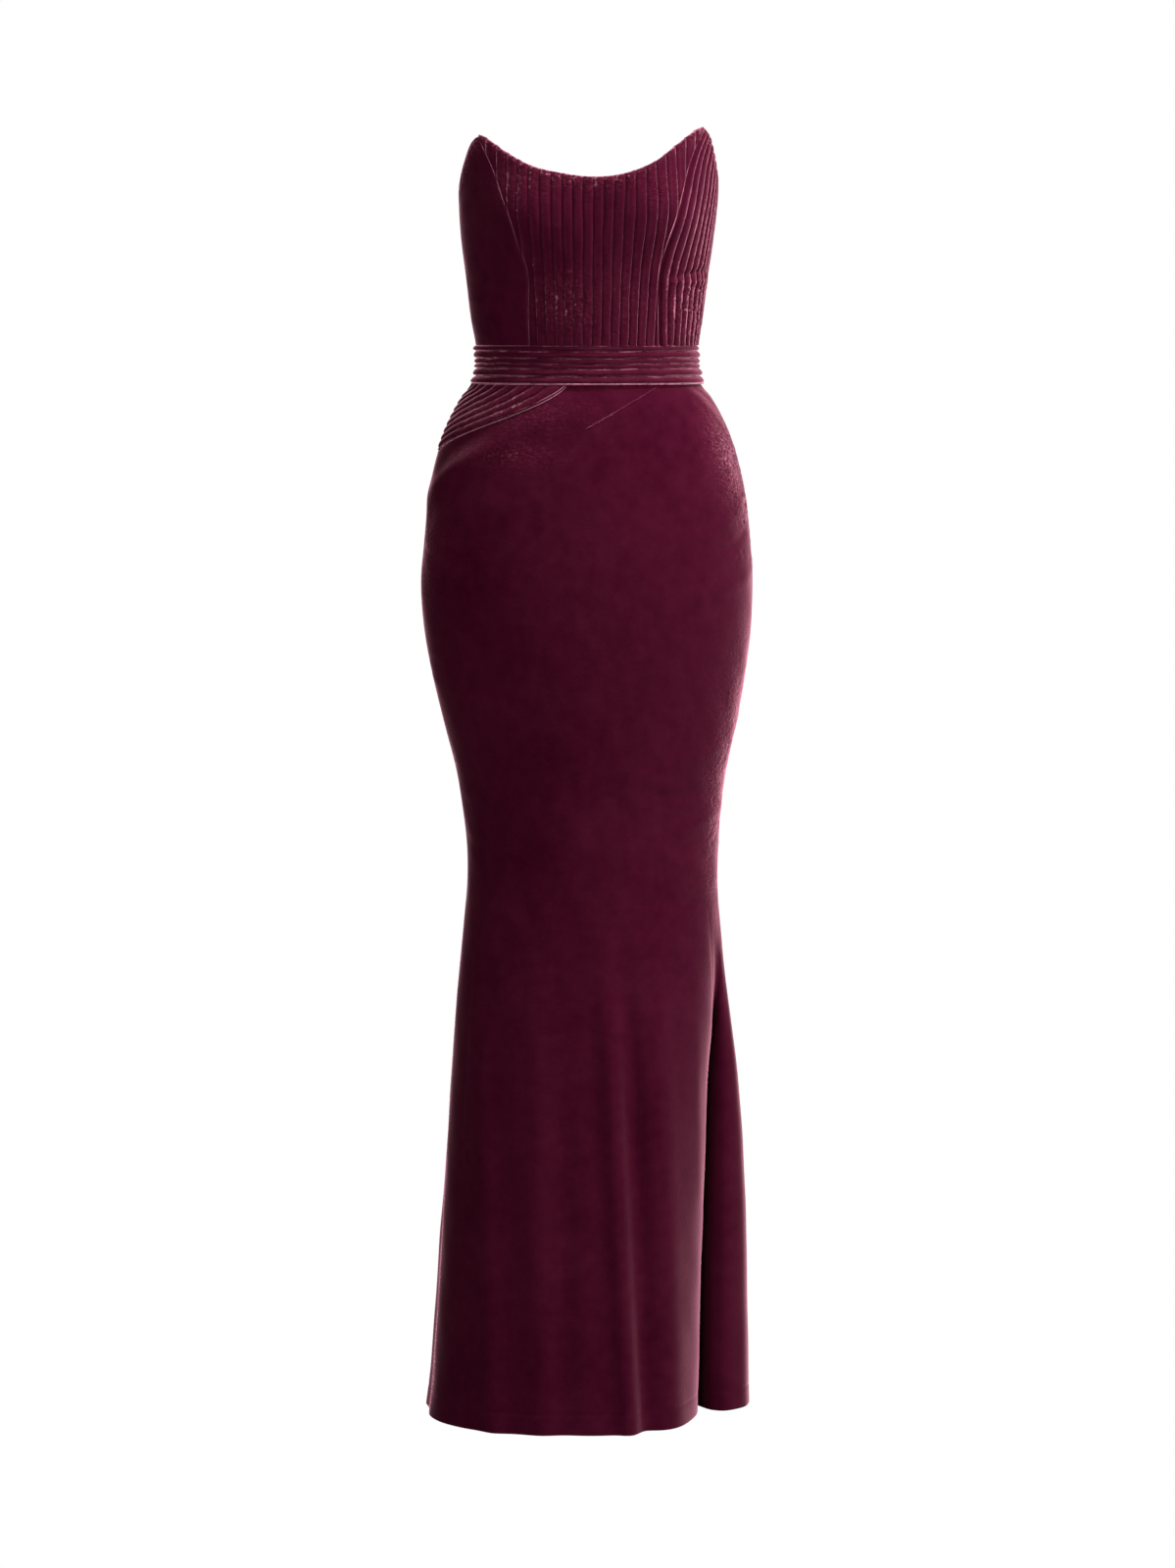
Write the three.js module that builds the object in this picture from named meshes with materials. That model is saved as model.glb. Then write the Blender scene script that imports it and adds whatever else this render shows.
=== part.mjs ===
// Strapless trumpet gown in velvet, worn and hollow, with no wearer.
// Millimetres, +Z up, front towards -Y, the wearer's left towards +X.
// The origin is the middle of the waist. Angles are in degrees round the body:
// 0 is the centre front, +90 the wearer's left side, 180 the centre back.
import * as THREE from 'three';

// Driving sizes
const BAND_TOP = 23;
const BAND_BOTTOM = -18;
const HEM = -1135;
const KNEE = -548;
const BODICE_CLOTH = 2.4;
const SKIRT_CLOTH = 2;
const SEAM_GAP = 0.35;
const UNDERBUST = 100;
const BUST = { angle: 31, height: 163, lift: 13, wide: 21, tall: 46 };
const CHANNEL = { centre: 10.27, pitchWaist: 9.5, pitchTop: 10.9, depth: 2.4 };
const SIDE_RIBS = { count: 10, depth: 2.6 };
const HIP = { startAngle: -13.5, sideDrop: 72, bend: 0.64, tucks: 9, depth: 3 };
const FOLD = { from: 60, lobeAngle: 84, full: -790 };
const ZIP = { bottom: -190, tapeHalf: 11, tapeThick: 0.8, sliderTop: 156 };

// Half widths and depths of the worn form at each height
const FORM = [
  { z: 262, right: 136, left: 135.5, front: 108, back: 97 },
  { z: 215, right: 137, left: 136.5, front: 106, back: 97 },
  { z: 183, right: 137.5, left: 136.5, front: 104, back: 98 },
  { z: 140, right: 135, left: 132, front: 101, back: 97 },
  { z: 98, right: 130, left: 126, front: 96, back: 93 },
  { z: 55, right: 125, left: 120.5, front: 90, back: 89 },
  { z: 28, right: 120, left: 116.5, front: 87, back: 86 },
  { z: 12, right: 118.3, left: 117, front: 85.5, back: 85 },
  { z: -6, right: 118.8, left: 118.8, front: 86, back: 86 },
  { z: -18, right: 123, left: 122.5, front: 89, back: 90 },
  { z: -30, right: 133, left: 132.5, front: 92, back: 95 },
  { z: -56, right: 147.5, left: 147, front: 97, back: 104 },
  { z: -83, right: 158.5, left: 158, front: 101, back: 113 },
  { z: -109, right: 165.5, left: 165, front: 104, back: 120 },
  { z: -145, right: 171.5, left: 171.5, front: 107, back: 128 },
  { z: -189, right: 175.8, left: 175.8, front: 109, back: 134 },
  { z: -226, right: 179, left: 178, front: 110, back: 136 },
  { z: -269, right: 176.5, left: 177, front: 109, back: 133 },
  { z: -322, right: 168, left: 171.5, front: 106, back: 125 },
  { z: -375, right: 155.6, left: 162, front: 102, back: 114 },
  { z: -428, right: 142, left: 151, front: 98, back: 104 },
  { z: -470, right: 135, left: 145, front: 95, back: 97 },
  { z: -508, right: 130.5, left: 142, front: 94, back: 93 },
  { z: -548, right: 130, left: 141, front: 94, back: 93 },
  { z: -587, right: 133, left: 143, front: 95, back: 97 },
  { z: -667, right: 141, left: 152, front: 98, back: 109 },
  { z: -773, right: 148.5, left: 166, front: 103, back: 126 },
  { z: -879, right: 155, left: 174, front: 107, back: 143 },
  { z: -986, right: 161.5, left: 177.5, front: 112, back: 160 },
  { z: -1092, right: 168.5, left: 180, front: 116, back: 174 },
  { z: -1135, right: 173.6, left: 181, front: 118, back: 180 },
];

// The neck edge, from the right side seam over both peaks, and round to the back
const NECK = [
  { angle: -180, z: 163 }, { angle: -150, z: 166 }, { angle: -115, z: 178 },
  { angle: -90, z: 195 }, { angle: -85, z: 206 }, { angle: -80, z: 219 },
  { angle: -72, z: 238 }, { angle: -67, z: 246 }, { angle: -63, z: 249.5 },
  { angle: -56, z: 244 }, { angle: -44, z: 230 }, { angle: -30.5, z: 215.6 },
  { angle: -16.3, z: 207 }, { angle: -2.8, z: 203 }, { angle: 10.7, z: 206 },
  { angle: 25.2, z: 217.7 }, { angle: 38.8, z: 235.8 }, { angle: 52, z: 251 },
  { angle: 60, z: 256 }, { angle: 66, z: 251 }, { angle: 74.5, z: 228 },
  { angle: 79.5, z: 214 }, { angle: 84, z: 206 }, { angle: 90, z: 195 },
  { angle: 115, z: 178 }, { angle: 150, z: 166 }, { angle: 180, z: 163 },
];

// Angle of each princess seam at each height
const PRINCESS = [
  { z: 23, right: -35.3, left: 37.2 },
  { z: 60, right: -34, left: 34.6 },
  { z: 100, right: -32.8, left: 32.7 },
  { z: 132, right: -36, left: 34 },
  { z: 155, right: -38.2, left: 36.3 },
  { z: 180, right: -42.8, left: 39.6 },
  { z: 209, right: -50, left: 45.8 },
  { z: 231, right: -57.6, left: 52.3 },
  { z: 256, right: -66, left: 63 },
];

// Edge of the front lobe over the deep fold, and the way its side seam swings forward
const LOBE = [
  { z: -548, edge: 138, seat: 0, sideSeat: 0 },
  { z: -587, edge: 134.5, seat: -4, sideSeat: 2 },
  { z: -773, edge: 130, seat: -3, sideSeat: 10 },
  { z: -879, edge: 127, seat: -2, sideSeat: 15 },
  { z: -986, edge: 123.5, seat: -1, sideSeat: 19 },
  { z: -1135, edge: 120.5, seat: 0, sideSeat: 24 },
];

// The deep fold at the hem: steps from the lobe's edge, as shares of the rear lobe's reach
const FOLD_STEPS = [
  { out: -0.02, back: -0.16 }, { out: 0, back: 0 }, { out: -0.05, back: 0.13 },
  { out: -0.17, back: 0.27 }, { out: -0.14, back: 0.39 }, { out: -0.03, back: 0.34 },
  { out: 0.07, back: 0.13 }, { out: 0.23, back: -0.15 }, { out: 0.47, back: -0.25 },
  { out: 0.7, back: -0.13 }, { out: 0.9, back: 0.08 }, { out: 1, back: 0.4 },
];

// Soft ridges and troughs down the front of the flare, placed across the front
const FRONT_RIDGES = [
  { from: -590, fullAt: -900, xTop: -123, xHem: -109, wide: 13, high: 5 },
  { from: -590, fullAt: -760, xTop: -68, xHem: -58, wide: 17, high: 3 },
  { from: -560, fullAt: -800, xTop: 13, xHem: 45, wide: 17, high: 7 },
  { from: -560, fullAt: -820, xTop: 42, xHem: 70, wide: 13, high: -5 },
  { from: -560, fullAt: -800, xTop: 72, xHem: 93, wide: 15, high: 5 },
  { from: -640, fullAt: -1000, xTop: -30, xHem: -38, wide: 20, high: -3 },
];

// Soft flutes round the back of the flare, placed by angle
const BACK_FLUTES = [
  { angle: -163, wide: 11, high: 16 }, { angle: -132, wide: 9, high: 13 },
  { angle: -108, wide: 7, high: 8 }, { angle: 122, wide: 8, high: 11 },
  { angle: 146, wide: 10, high: 15 }, { angle: 170, wide: 9, high: 12 },
];

// The lit swell that runs down to the side under the hip tucks
const SWELL = { angleTop: -28, zTop: -62, angleSide: -72, zSide: -118, wide: 14, high: 5.5 };

// Heights of the six level tucks in the waistband, from the top, and how far each stands out
const BAND_TUCKS = [
  { tall: 5.7, out: 2.4 }, { tall: 8, out: 2.8 }, { tall: 5.8, out: 2.4 },
  { tall: 5, out: 2.4 }, { tall: 8.3, out: 3.8 }, { tall: 8.2, out: 4.2 },
];

const VELVET = { color: '#4a1024', roughness: 0.8, metalness: 0 };
const METAL = { color: '#5a2434', roughness: 0.4, metalness: 0.6 };

const radians = THREE.MathUtils.degToRad;
const lerp = THREE.MathUtils.lerp;
const clamp = THREE.MathUtils.clamp;
const smooth = (value) => THREE.MathUtils.smoothstep(value, 0, 1);
const bell = (value) => Math.exp(-value * value);

// Evenly spaced stops from one value to another
function stops(from, to, count) {
  return Array.from({ length: count + 1 }, (_, step) => lerp(from, to, step / count));
}

// A smooth curve through one column of a table, read against another
function curve(table, key, column, at) {
  const rising = table[table.length - 1][key] > table[0][key];
  const rows = rising ? table : [...table].reverse();
  const place = clamp(at, rows[0][key], rows[rows.length - 1][key]);
  let row = 0;
  while (row < rows.length - 2 && place > rows[row + 1][key]) {
    row += 1;
  }
  const slope = (index) => {
    const before = rows[Math.max(index - 1, 0)];
    const after = rows[Math.min(index + 1, rows.length - 1)];
    return (after[column] - before[column]) / (after[key] - before[key]);
  };
  const span = rows[row + 1][key] - rows[row][key];
  const t = (place - rows[row][key]) / span;
  const rise = rows[row + 1][column] - rows[row][column];
  const start = slope(row) * span;
  const end = slope(row + 1) * span;
  return rows[row][column] + t * (start + t * (3 * rise - 2 * start - end + t * (start + end - 2 * rise)));
}

const form = (column, z) => curve(FORM, 'z', column, z);
const neck = (angle) => curve(NECK, 'angle', 'z', angle);
const princess = (side, z) => curve(PRINCESS, 'z', side, z);

// How far the deep fold has opened at a height, from 0 at the knee to 1
const foldOpen = (z) => smooth((KNEE - z) / (KNEE - FOLD.full));

// The plain section: an ellipse with its own depth in front and behind
function plainPoint(angle, z) {
  const turn = radians(angle);
  const half = form(angle < 0 ? 'right' : 'left', z);
  const depth = form(Math.abs(angle) <= 90 ? 'front' : 'back', z);
  return new THREE.Vector2(half * Math.sin(turn), -depth * Math.cos(turn));
}

// The wearer's left side below the knee: a front lobe, the deep fold, and a rear lobe
function foldedPoint(angle, z) {
  const reach = form('left', z);
  const edge = Math.min(curve(LOBE, 'z', 'edge', z), reach - 3);
  const seat = curve(LOBE, 'z', 'seat', z);
  const sideSeat = curve(LOBE, 'z', 'sideSeat', z);
  if (angle > 90) {
    const turn = radians(angle);
    const depth = form('back', z);
    return new THREE.Vector2(reach * Math.sin(turn), sideSeat - (depth - sideSeat) * Math.cos(turn));
  }
  if (angle < FOLD.from) {
    const turn = radians(angle * FOLD.lobeAngle / FOLD.from);
    return new THREE.Vector2(edge * Math.sin(turn), seat - (form('front', z) + seat) * Math.cos(turn));
  }
  const size = reach - edge;
  const lobeEnd = radians(FOLD.lobeAngle);
  const entry = new THREE.Vector2(edge * Math.sin(lobeEnd), seat - (form('front', z) + seat) * Math.cos(lobeEnd));
  const points = FOLD_STEPS.map(({ out, back }) => new THREE.Vector2(edge + out * size, seat + back * size));
  points[0] = entry;
  points[points.length - 1] = new THREE.Vector2(reach, sideSeat);
  return new THREE.SplineCurve(points).getPoint((angle - FOLD.from) / (90 - FOLD.from));
}

// The section before its soft folds
function sectionPoint(angle, z) {
  const plain = plainPoint(angle, z);
  if (angle > 0 && z < KNEE) {
    plain.lerp(foldedPoint(angle, z), foldOpen(z));
  }
  return plain;
}

// Soft folds, bust shaping and the hip swell, as a distance out from the section
function softFolds(angle, z, across) {
  let out = 0;
  if (z > BAND_TOP) {
    const reach = bell((Math.abs(angle) - BUST.angle) / BUST.wide) * bell((z - BUST.height) / BUST.tall);
    out += BUST.lift * reach * smooth((z - BAND_TOP) / 60);
  }
  if (z < BAND_BOTTOM && z > -260 && angle < 0 && angle > -95) {
    const along = clamp((angle - SWELL.angleTop) / (SWELL.angleSide - SWELL.angleTop), -0.3, 1.3);
    const middle = lerp(SWELL.zTop, SWELL.zSide, along);
    out += SWELL.high * bell((z - middle) / SWELL.wide) * bell((along - 0.5) / 0.75);
  }
  if (z < KNEE && Math.abs(angle) <= FOLD.from + 4) {
    FRONT_RIDGES.forEach(({ from, fullAt, xTop, xHem, wide, high }) => {
      const place = lerp(xTop, xHem, (from - z) / (from - HEM));
      out += high * smooth((from - z) / (from - fullAt)) * bell((across - place) / wide);
    });
  }
  if (z < KNEE && Math.abs(angle) > 90) {
    const open = smooth((KNEE - z) / (KNEE - HEM)) * smooth((Math.abs(angle) - 90) / 14);
    BACK_FLUTES.forEach(({ angle: middle, wide, high }) => {
      out += high * open * bell((angle - middle) / wide);
    });
  }
  return out;
}

// A point of the worn form, moved out by a distance level with the floor
function formPoint(angle, z, out = 0) {
  const step = 0.4;
  const here = sectionPoint(angle, z);
  const before = sectionPoint(clamp(angle - step, -180, 180), z);
  const after = sectionPoint(clamp(angle + step, -180, 180), z);
  const along = after.sub(before).normalize();
  const shift = out + softFolds(angle, z, here.x);
  return new THREE.Vector3(here.x + along.y * shift, here.y - along.x * shift, z);
}

// The angle that moves a point of the form by a distance along its section
function angleOf(distance, angle, z) {
  const step = angle > 0 ? -0.5 : 0.5;
  const here = sectionPoint(angle, z);
  return distance * Math.abs(step) / here.distanceTo(sectionPoint(angle + step, z));
}

// A closed cloth wall, built up from patches whose shared edges have the same points
class Wall {
  constructor() {
    this.corners = [];
  }

  triangle(a, b, c) {
    this.corners.push(a, b, c);
  }

  sheet(point, across, along, flip) {
    for (let i = 0; i < across.length - 1; i += 1) {
      for (let j = 0; j < along.length - 1; j += 1) {
        const a = point(across[i], along[j]);
        const b = point(across[i + 1], along[j]);
        const c = point(across[i + 1], along[j + 1]);
        const d = point(across[i], along[j + 1]);
        if (flip) {
          this.triangle(a, c, b);
          this.triangle(a, d, c);
        } else {
          this.triangle(a, b, c);
          this.triangle(a, c, d);
        }
      }
    }
  }

  // A rim between an outer and an inner edge that share their ends
  rim(outer, inner, outerStops, innerStops) {
    let i = 0;
    let j = 0;
    while (i < outerStops.length - 1 || j < innerStops.length - 1) {
      const nextOuter = i < outerStops.length - 1 ? outerStops[i + 1] : Infinity;
      const nextInner = j < innerStops.length - 1 ? innerStops[j + 1] : Infinity;
      const a = outer(outerStops[i]);
      const b = inner(innerStops[j]);
      if (nextOuter <= nextInner) {
        this.triangle(a, b, outer(nextOuter));
        i += 1;
      } else {
        this.triangle(a, b, inner(nextInner));
        j += 1;
      }
    }
  }

  // Outer and inner sheets over one field of stops, with rims on the named edges
  patch({ outer, inner, across, along, innerAcross = across, innerAlong = along, rims }) {
    this.sheet(outer, across, along, false);
    this.sheet(inner, innerAcross, innerAlong, true);
    const ends = { left: across[0], right: across[across.length - 1] };
    const levels = { bottom: along[0], top: along[along.length - 1] };
    rims.forEach((edge) => {
      if (edge in ends) {
        const a = ends[edge];
        const [first, second] = edge === 'right' ? [outer, inner] : [inner, outer];
        const [firstStops, secondStops] = edge === 'right' ? [along, innerAlong] : [innerAlong, along];
        this.rim((b) => first(a, b), (b) => second(a, b), firstStops, secondStops);
      } else {
        const b = levels[edge];
        const [first, second] = edge === 'bottom' ? [outer, inner] : [inner, outer];
        const [firstStops, secondStops] = edge === 'bottom' ? [across, innerAcross] : [innerAcross, across];
        this.rim((a) => first(a, b), (a) => second(a, b), firstStops, secondStops);
      }
    });
  }

  // Six times the volume that the triangles hold, less than nothing where they face in
  held() {
    let sum = 0;
    for (let start = 0; start < this.corners.length; start += 3) {
      const [a, b, c] = this.corners.slice(start, start + 3);
      sum += a.dot(b.clone().cross(c));
    }
    return sum;
  }

  // Shared points are joined, triangles with no area left out, and all turned to face out
  mesh(name, finish) {
    if (this.held() < 0) {
      this.corners.reverse();
    }
    const positions = [];
    const known = new Map();
    const index = this.corners.map((corner) => {
      const key = corner.toArray().map((value) => Math.round(value * 1000)).join(',');
      if (!known.has(key)) {
        known.set(key, positions.length / 3);
        positions.push(corner.x, corner.y, corner.z);
      }
      return known.get(key);
    });
    const faces = [];
    for (let start = 0; start < index.length; start += 3) {
      const [a, b, c] = index.slice(start, start + 3);
      if (a !== b && b !== c && c !== a) {
        faces.push(a, b, c);
      }
    }
    const geometry = new THREE.BufferGeometry();
    geometry.setAttribute('position', new THREE.Float32BufferAttribute(positions, 3));
    geometry.setIndex(faces);
    return named(geometry, name, finish);
  }
}

function named(geometry, name, finish) {
  const mesh = new THREE.Mesh(geometry, new THREE.MeshStandardMaterial(finish));
  mesh.name = name;
  return mesh;
}

// The rise of a rounded tuck with a crisp groove at each whole number
const TUCK_STOPS = [0, 0.2, 0.5, 0.8];

function tuckRise(count) {
  const share = count - Math.floor(count);
  return Math.sqrt(Math.max(0, 1 - (2 * share - 1) ** 4));
}

// Stops that hold every groove and crest between two counts
function tuckStops(from, to, inset = 0.12) {
  const list = [from];
  for (let whole = Math.floor(from); whole <= to; whole += 1) {
    TUCK_STOPS.forEach((share) => {
      if (whole + share > from + inset && whole + share < to - inset) {
        list.push(whole + share);
      }
    });
  }
  list.push(to);
  return list;
}

// Centre front: channels stand upright, so a count across the front names each one
const channelPitch = (z) => lerp(CHANNEL.pitchWaist, CHANNEL.pitchTop, (z - 28) / 190);

function channelAngle(count, z) {
  const across = (count - CHANNEL.centre) * channelPitch(z);
  const half = form(across < 0 ? 'right' : 'left', z);
  return THREE.MathUtils.radToDeg(Math.asin(clamp(across / half, -0.99, 0.99)));
}

function channelCount(angle, z) {
  const half = form(angle < 0 ? 'right' : 'left', z);
  return CHANNEL.centre + half * Math.sin(radians(angle)) / channelPitch(z);
}

// Halves an interval until the test's change of sign is found
function solve(test, low, high) {
  const rising = test(high) > 0;
  for (let round = 0; round < 40; round += 1) {
    const middle = (low + high) / 2;
    if ((test(middle) > 0) === rising) {
      high = middle;
    } else {
      low = middle;
    }
  }
  return (low + high) / 2;
}

function seamAngle(side, z) {
  const angle = princess(side, z);
  const inward = side === 'right' ? 1 : -1;
  return angle + inward * angleOf(SEAM_GAP / 2, angle, z);
}

// Heights at which one channel leaves the princess seam and reaches the neck edge
function channelFoot(count, side) {
  return solve((z) => Math.abs(channelCount(seamAngle(side, z), z) - CHANNEL.centre)
    - Math.abs(count - CHANNEL.centre), UNDERBUST, 262);
}

function channelHead(count) {
  const angle = solve((at) => channelCount(at, neck(at)) - count, -70, 68);
  return neck(angle);
}

const PEAK_HEIGHT = { right: 243, left: 248 };
const SEAM_ROW = 6;

function bodiceCentreFront() {
  const wall = new Wall();
  const foot = BAND_TOP + SEAM_GAP;
  const edgeAt = (side, z) => channelCount(seamAngle(side, z), z);
  const low = edgeAt('right', UNDERBUST);
  const high = edgeAt('left', UNDERBUST);
  const tips = { right: edgeAt('right', PEAK_HEIGHT.right), left: edgeAt('left', PEAK_HEIGHT.left) };
  const heads = new Map();
  const feet = new Map();
  const remember = (map, count, work) => {
    if (!map.has(count)) {
      map.set(count, work());
    }
    return map.get(count);
  };
  const footOf = (count) => {
    if (count >= low && count <= high) {
      return UNDERBUST;
    }
    return remember(feet, count, () => channelFoot(count, count < low ? 'right' : 'left'));
  };
  const place = (count, level) => {
    if (level <= 1 && count >= low && count <= high) {
      const z = lerp(foot, UNDERBUST, level);
      const share = (count - low) / (high - low);
      return { count: lerp(edgeAt('right', z), edgeAt('left', z), share), z };
    }
    const head = remember(heads, count, () => channelHead(count));
    return { count, z: lerp(footOf(count), head, level - 1) };
  };
  const outer = (count, level) => {
    const spot = place(count, level);
    const head = level > 1 ? remember(heads, count, () => channelHead(count)) : Infinity;
    const fromSeam = level < 1
      ? Math.min(count - low, high - count) * CHANNEL.pitchWaist
      : Math.min(count - tips.right, tips.left - count) * CHANNEL.pitchWaist;
    const fromFoot = level > 1 && footOf(count) > UNDERBUST + 0.5 ? spot.z - footOf(count) : 99;
    const fade = smooth(fromSeam / 3) * smooth(fromFoot / 4) * smooth((head - spot.z) / 3 + 0.25);
    const rise = CHANNEL.depth * tuckRise(count) * fade;
    return formPoint(channelAngle(spot.count, spot.z), spot.z, rise);
  };
  const inner = (count, level) => {
    const spot = place(count, level);
    return formPoint(channelAngle(spot.count, spot.z), spot.z, -BODICE_CLOTH);
  };
  const upper = [1, 1.08, 1.3, 1.55, 1.8, 1.94, 2];
  const upperInner = [1, 1.25, 1.5, 1.75, 2];
  wall.patch({
    outer, inner,
    across: tuckStops(low, high),
    along: stops(0, 1, 5),
    innerAcross: stops(low, high, 12),
    innerAlong: stops(0, 1, 4),
    rims: ['left', 'right', 'bottom'],
  });
  wall.patch({
    outer, inner,
    across: tuckStops(low, high),
    along: upper,
    innerAcross: stops(low, high, 12),
    innerAlong: upperInner,
    rims: ['top'],
  });
  wall.patch({
    outer, inner,
    across: tuckStops(tips.right, low),
    along: upper,
    innerAlong: upperInner,
    rims: ['left', 'bottom', 'top'],
  });
  wall.patch({
    outer, inner,
    across: tuckStops(high, tips.left),
    along: upper,
    innerAlong: upperInner,
    rims: ['right', 'bottom', 'top'],
  });
  return wall.mesh('bodice_centre_front', VELVET);
}

// Heights that both sides of a princess seam share: above the underbust, those where channels start
function seamHeights(side, tip) {
  const sign = side === 'right' ? -1 : 1;
  const countAt = (z) => channelCount(seamAngle(side, z), z);
  const low = Math.min(sign * countAt(UNDERBUST), sign * countAt(PEAK_HEIGHT[side]));
  const high = Math.max(sign * countAt(UNDERBUST), sign * countAt(PEAK_HEIGHT[side]));
  const heights = stops(BAND_TOP + SEAM_GAP, UNDERBUST, 4);
  const counts = side === 'right' ? tuckStops(-high, -low).reverse() : tuckStops(low, high);
  counts.slice(1, -1).forEach((count) => {
    const z = channelFoot(count, side);
    if (z - heights[heights.length - 1] > SEAM_ROW && tip - z > SEAM_ROW) {
      heights.push(z);
    }
  });
  return [...heights, tip];
}

// A side front runs from its princess seam to the side seam, under the neck edge
function bodiceSideFront(side, name, ribs) {
  const wall = new Wall();
  const sign = side === 'right' ? -1 : 1;
  const foot = BAND_TOP + SEAM_GAP;
  const tipAngle = sign * solve((at) => at - princess(side, neck(at * sign)) * sign, 50, 80);
  const tip = neck(tipAngle) - 1;
  const heights = seamHeights(side, tip);
  const place = (u, z) => {
    const start = princess(side, z);
    const from = start + sign * angleOf(SEAM_GAP / 2, start, z);
    const to = sign * 90 - sign * angleOf(SEAM_GAP / 2, sign * 90, z);
    const topAngle = lerp(tipAngle, sign * 90, u);
    const top = Math.min(neck(topAngle), lerp(tip, neck(sign * 90), u) + 40 * u * (1 - u));
    const share = (z - foot) / (tip - foot);
    return { angle: lerp(from, to, u), z: lerp(foot, top, share), share };
  };
  const outer = (u, z) => {
    const spot = place(u, z);
    const fade = smooth(Math.min(u, 1 - u) * 22) * smooth((1 - spot.share) * 30 + 0.2);
    const rise = ribs ? SIDE_RIBS.depth * tuckRise(u * SIDE_RIBS.count) * fade : 0;
    return formPoint(spot.angle, spot.z, rise);
  };
  const inner = (u, z) => {
    const spot = place(u, z);
    return formPoint(spot.angle, spot.z, -BODICE_CLOTH);
  };
  const across = ribs
    ? tuckStops(0, SIDE_RIBS.count).map((count) => count / SIDE_RIBS.count)
    : stops(0, 1, 7);
  wall.patch({
    outer, inner, across, along: heights,
    innerAcross: stops(0, 1, 7),
    rims: ['left', 'right', 'bottom', 'top'],
  });
  return wall.mesh(name, VELVET);
}

// Heights of the rows in a bodice back, at its own angle
const BACK_ROWS = 8;

function bodiceBack(side, name) {
  const wall = new Wall();
  const sign = side === 'right' ? -1 : 1;
  const foot = BAND_TOP + SEAM_GAP;
  const place = (u, share) => {
    const z = lerp(foot, neck(sign * lerp(90, 180, u)), share);
    const from = 90 + angleOf(SEAM_GAP / 2, 90 * sign, z);
    const to = 180 - angleOf(SEAM_GAP / 2, 180 * sign, z);
    return [sign * lerp(from, to, u), z];
  };
  wall.patch({
    outer: (u, share) => formPoint(...place(u, share)),
    inner: (u, share) => formPoint(...place(u, share), -BODICE_CLOTH),
    across: stops(0, 1, 10),
    along: stops(0, 1, BACK_ROWS),
    rims: ['left', 'right', 'bottom', 'top'],
  });
  return wall.mesh(name, VELVET);
}

// A stretch of waistband with its six level tucks
function waistband(fromAngle, toAngle, columns, name) {
  const wall = new Wall();
  const total = BAND_TUCKS.reduce((sum, tuck) => sum + tuck.tall, 0);
  const rows = [];
  let top = BAND_TOP;
  BAND_TUCKS.forEach(({ tall, out }) => {
    const height = tall * (BAND_TOP - BAND_BOTTOM) / total;
    [0, 0.25, 0.7].forEach((share) => rows.push({ z: top - height * share, rise: out * tuckRise(share) }));
    top -= height;
  });
  rows.push({ z: BAND_BOTTOM, rise: 0 });
  rows.reverse();
  const levels = rows.map((row) => row.z);
  const rises = new Map(rows.map((row) => [row.z, row.rise]));
  const turn = (u, z) => {
    const start = fromAngle + angleOf(SEAM_GAP / 2, fromAngle, z);
    const end = toAngle - angleOf(SEAM_GAP / 2, toAngle, z);
    return lerp(start, end, u);
  };
  wall.patch({
    outer: (u, z) => formPoint(turn(u, z), z, rises.get(z)),
    inner: (u, z) => formPoint(turn(u, z), z, -BODICE_CLOTH),
    across: stops(0, 1, columns),
    along: levels,
    innerAlong: stops(BAND_BOTTOM, BAND_TOP, 3),
    rims: ['left', 'right', 'bottom', 'top'],
  });
  return wall.mesh(name, VELVET);
}

// The hip seam falls from the waist at its start angle to the side seam
const HIP_STOPS = stops(0, 1, 10).map((share) => share ** 1.25);
const SKIRT_TOP = BAND_BOTTOM - SEAM_GAP;

function hipSeam(angle) {
  const t = clamp((HIP.startAngle - angle) / (HIP.startAngle + 90), 0, 1);
  return SKIRT_TOP - HIP.sideDrop * t ** HIP.bend;
}

// Slanting tucks: each line is the hip seam drawn in towards the corner of waist and side
function hipPanel() {
  const wall = new Wall();
  const corner = -90 + angleOf(SEAM_GAP / 2, -90, -50);
  const place = (t, inset) => {
    const keep = 1 - inset;
    const angle = corner + (HIP.startAngle - corner) * keep * (1 - t);
    return [angle, SKIRT_TOP - HIP.sideDrop * keep * t ** HIP.bend];
  };
  const first = 0.004;
  const last = 0.94;
  const count = (inset) => (inset - first) / (last - first) * HIP.tucks;
  const insets = tuckStops(0, HIP.tucks).map((step) => lerp(first, last, step / HIP.tucks));
  const outer = (t, inset) => {
    const fade = smooth(Math.min(t * 14, (1 - t) * 14, (inset - first) * 60) + 0.15);
    return formPoint(...place(t, inset), HIP.depth * tuckRise(count(inset)) * fade * (inset > last - 0.001 ? 0 : 1));
  };
  wall.patch({
    outer,
    inner: (t, inset) => formPoint(...place(t, inset), -SKIRT_CLOTH),
    across: HIP_STOPS,
    along: insets,
    innerAlong: stops(first, last, 7),
    rims: ['left', 'right', 'bottom', 'top'],
  });
  return wall.mesh('hip_panel_right', VELVET);
}

// Heights shared by all three skirt panels
const SKIRT_ROWS = [
  SKIRT_TOP, -30, -46, -70, -100, -140, -190, -240, -290, -345, -400, -450, -500,
  -550, -605, -670, -745, -835, -935, -1035, HEM,
];

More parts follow.
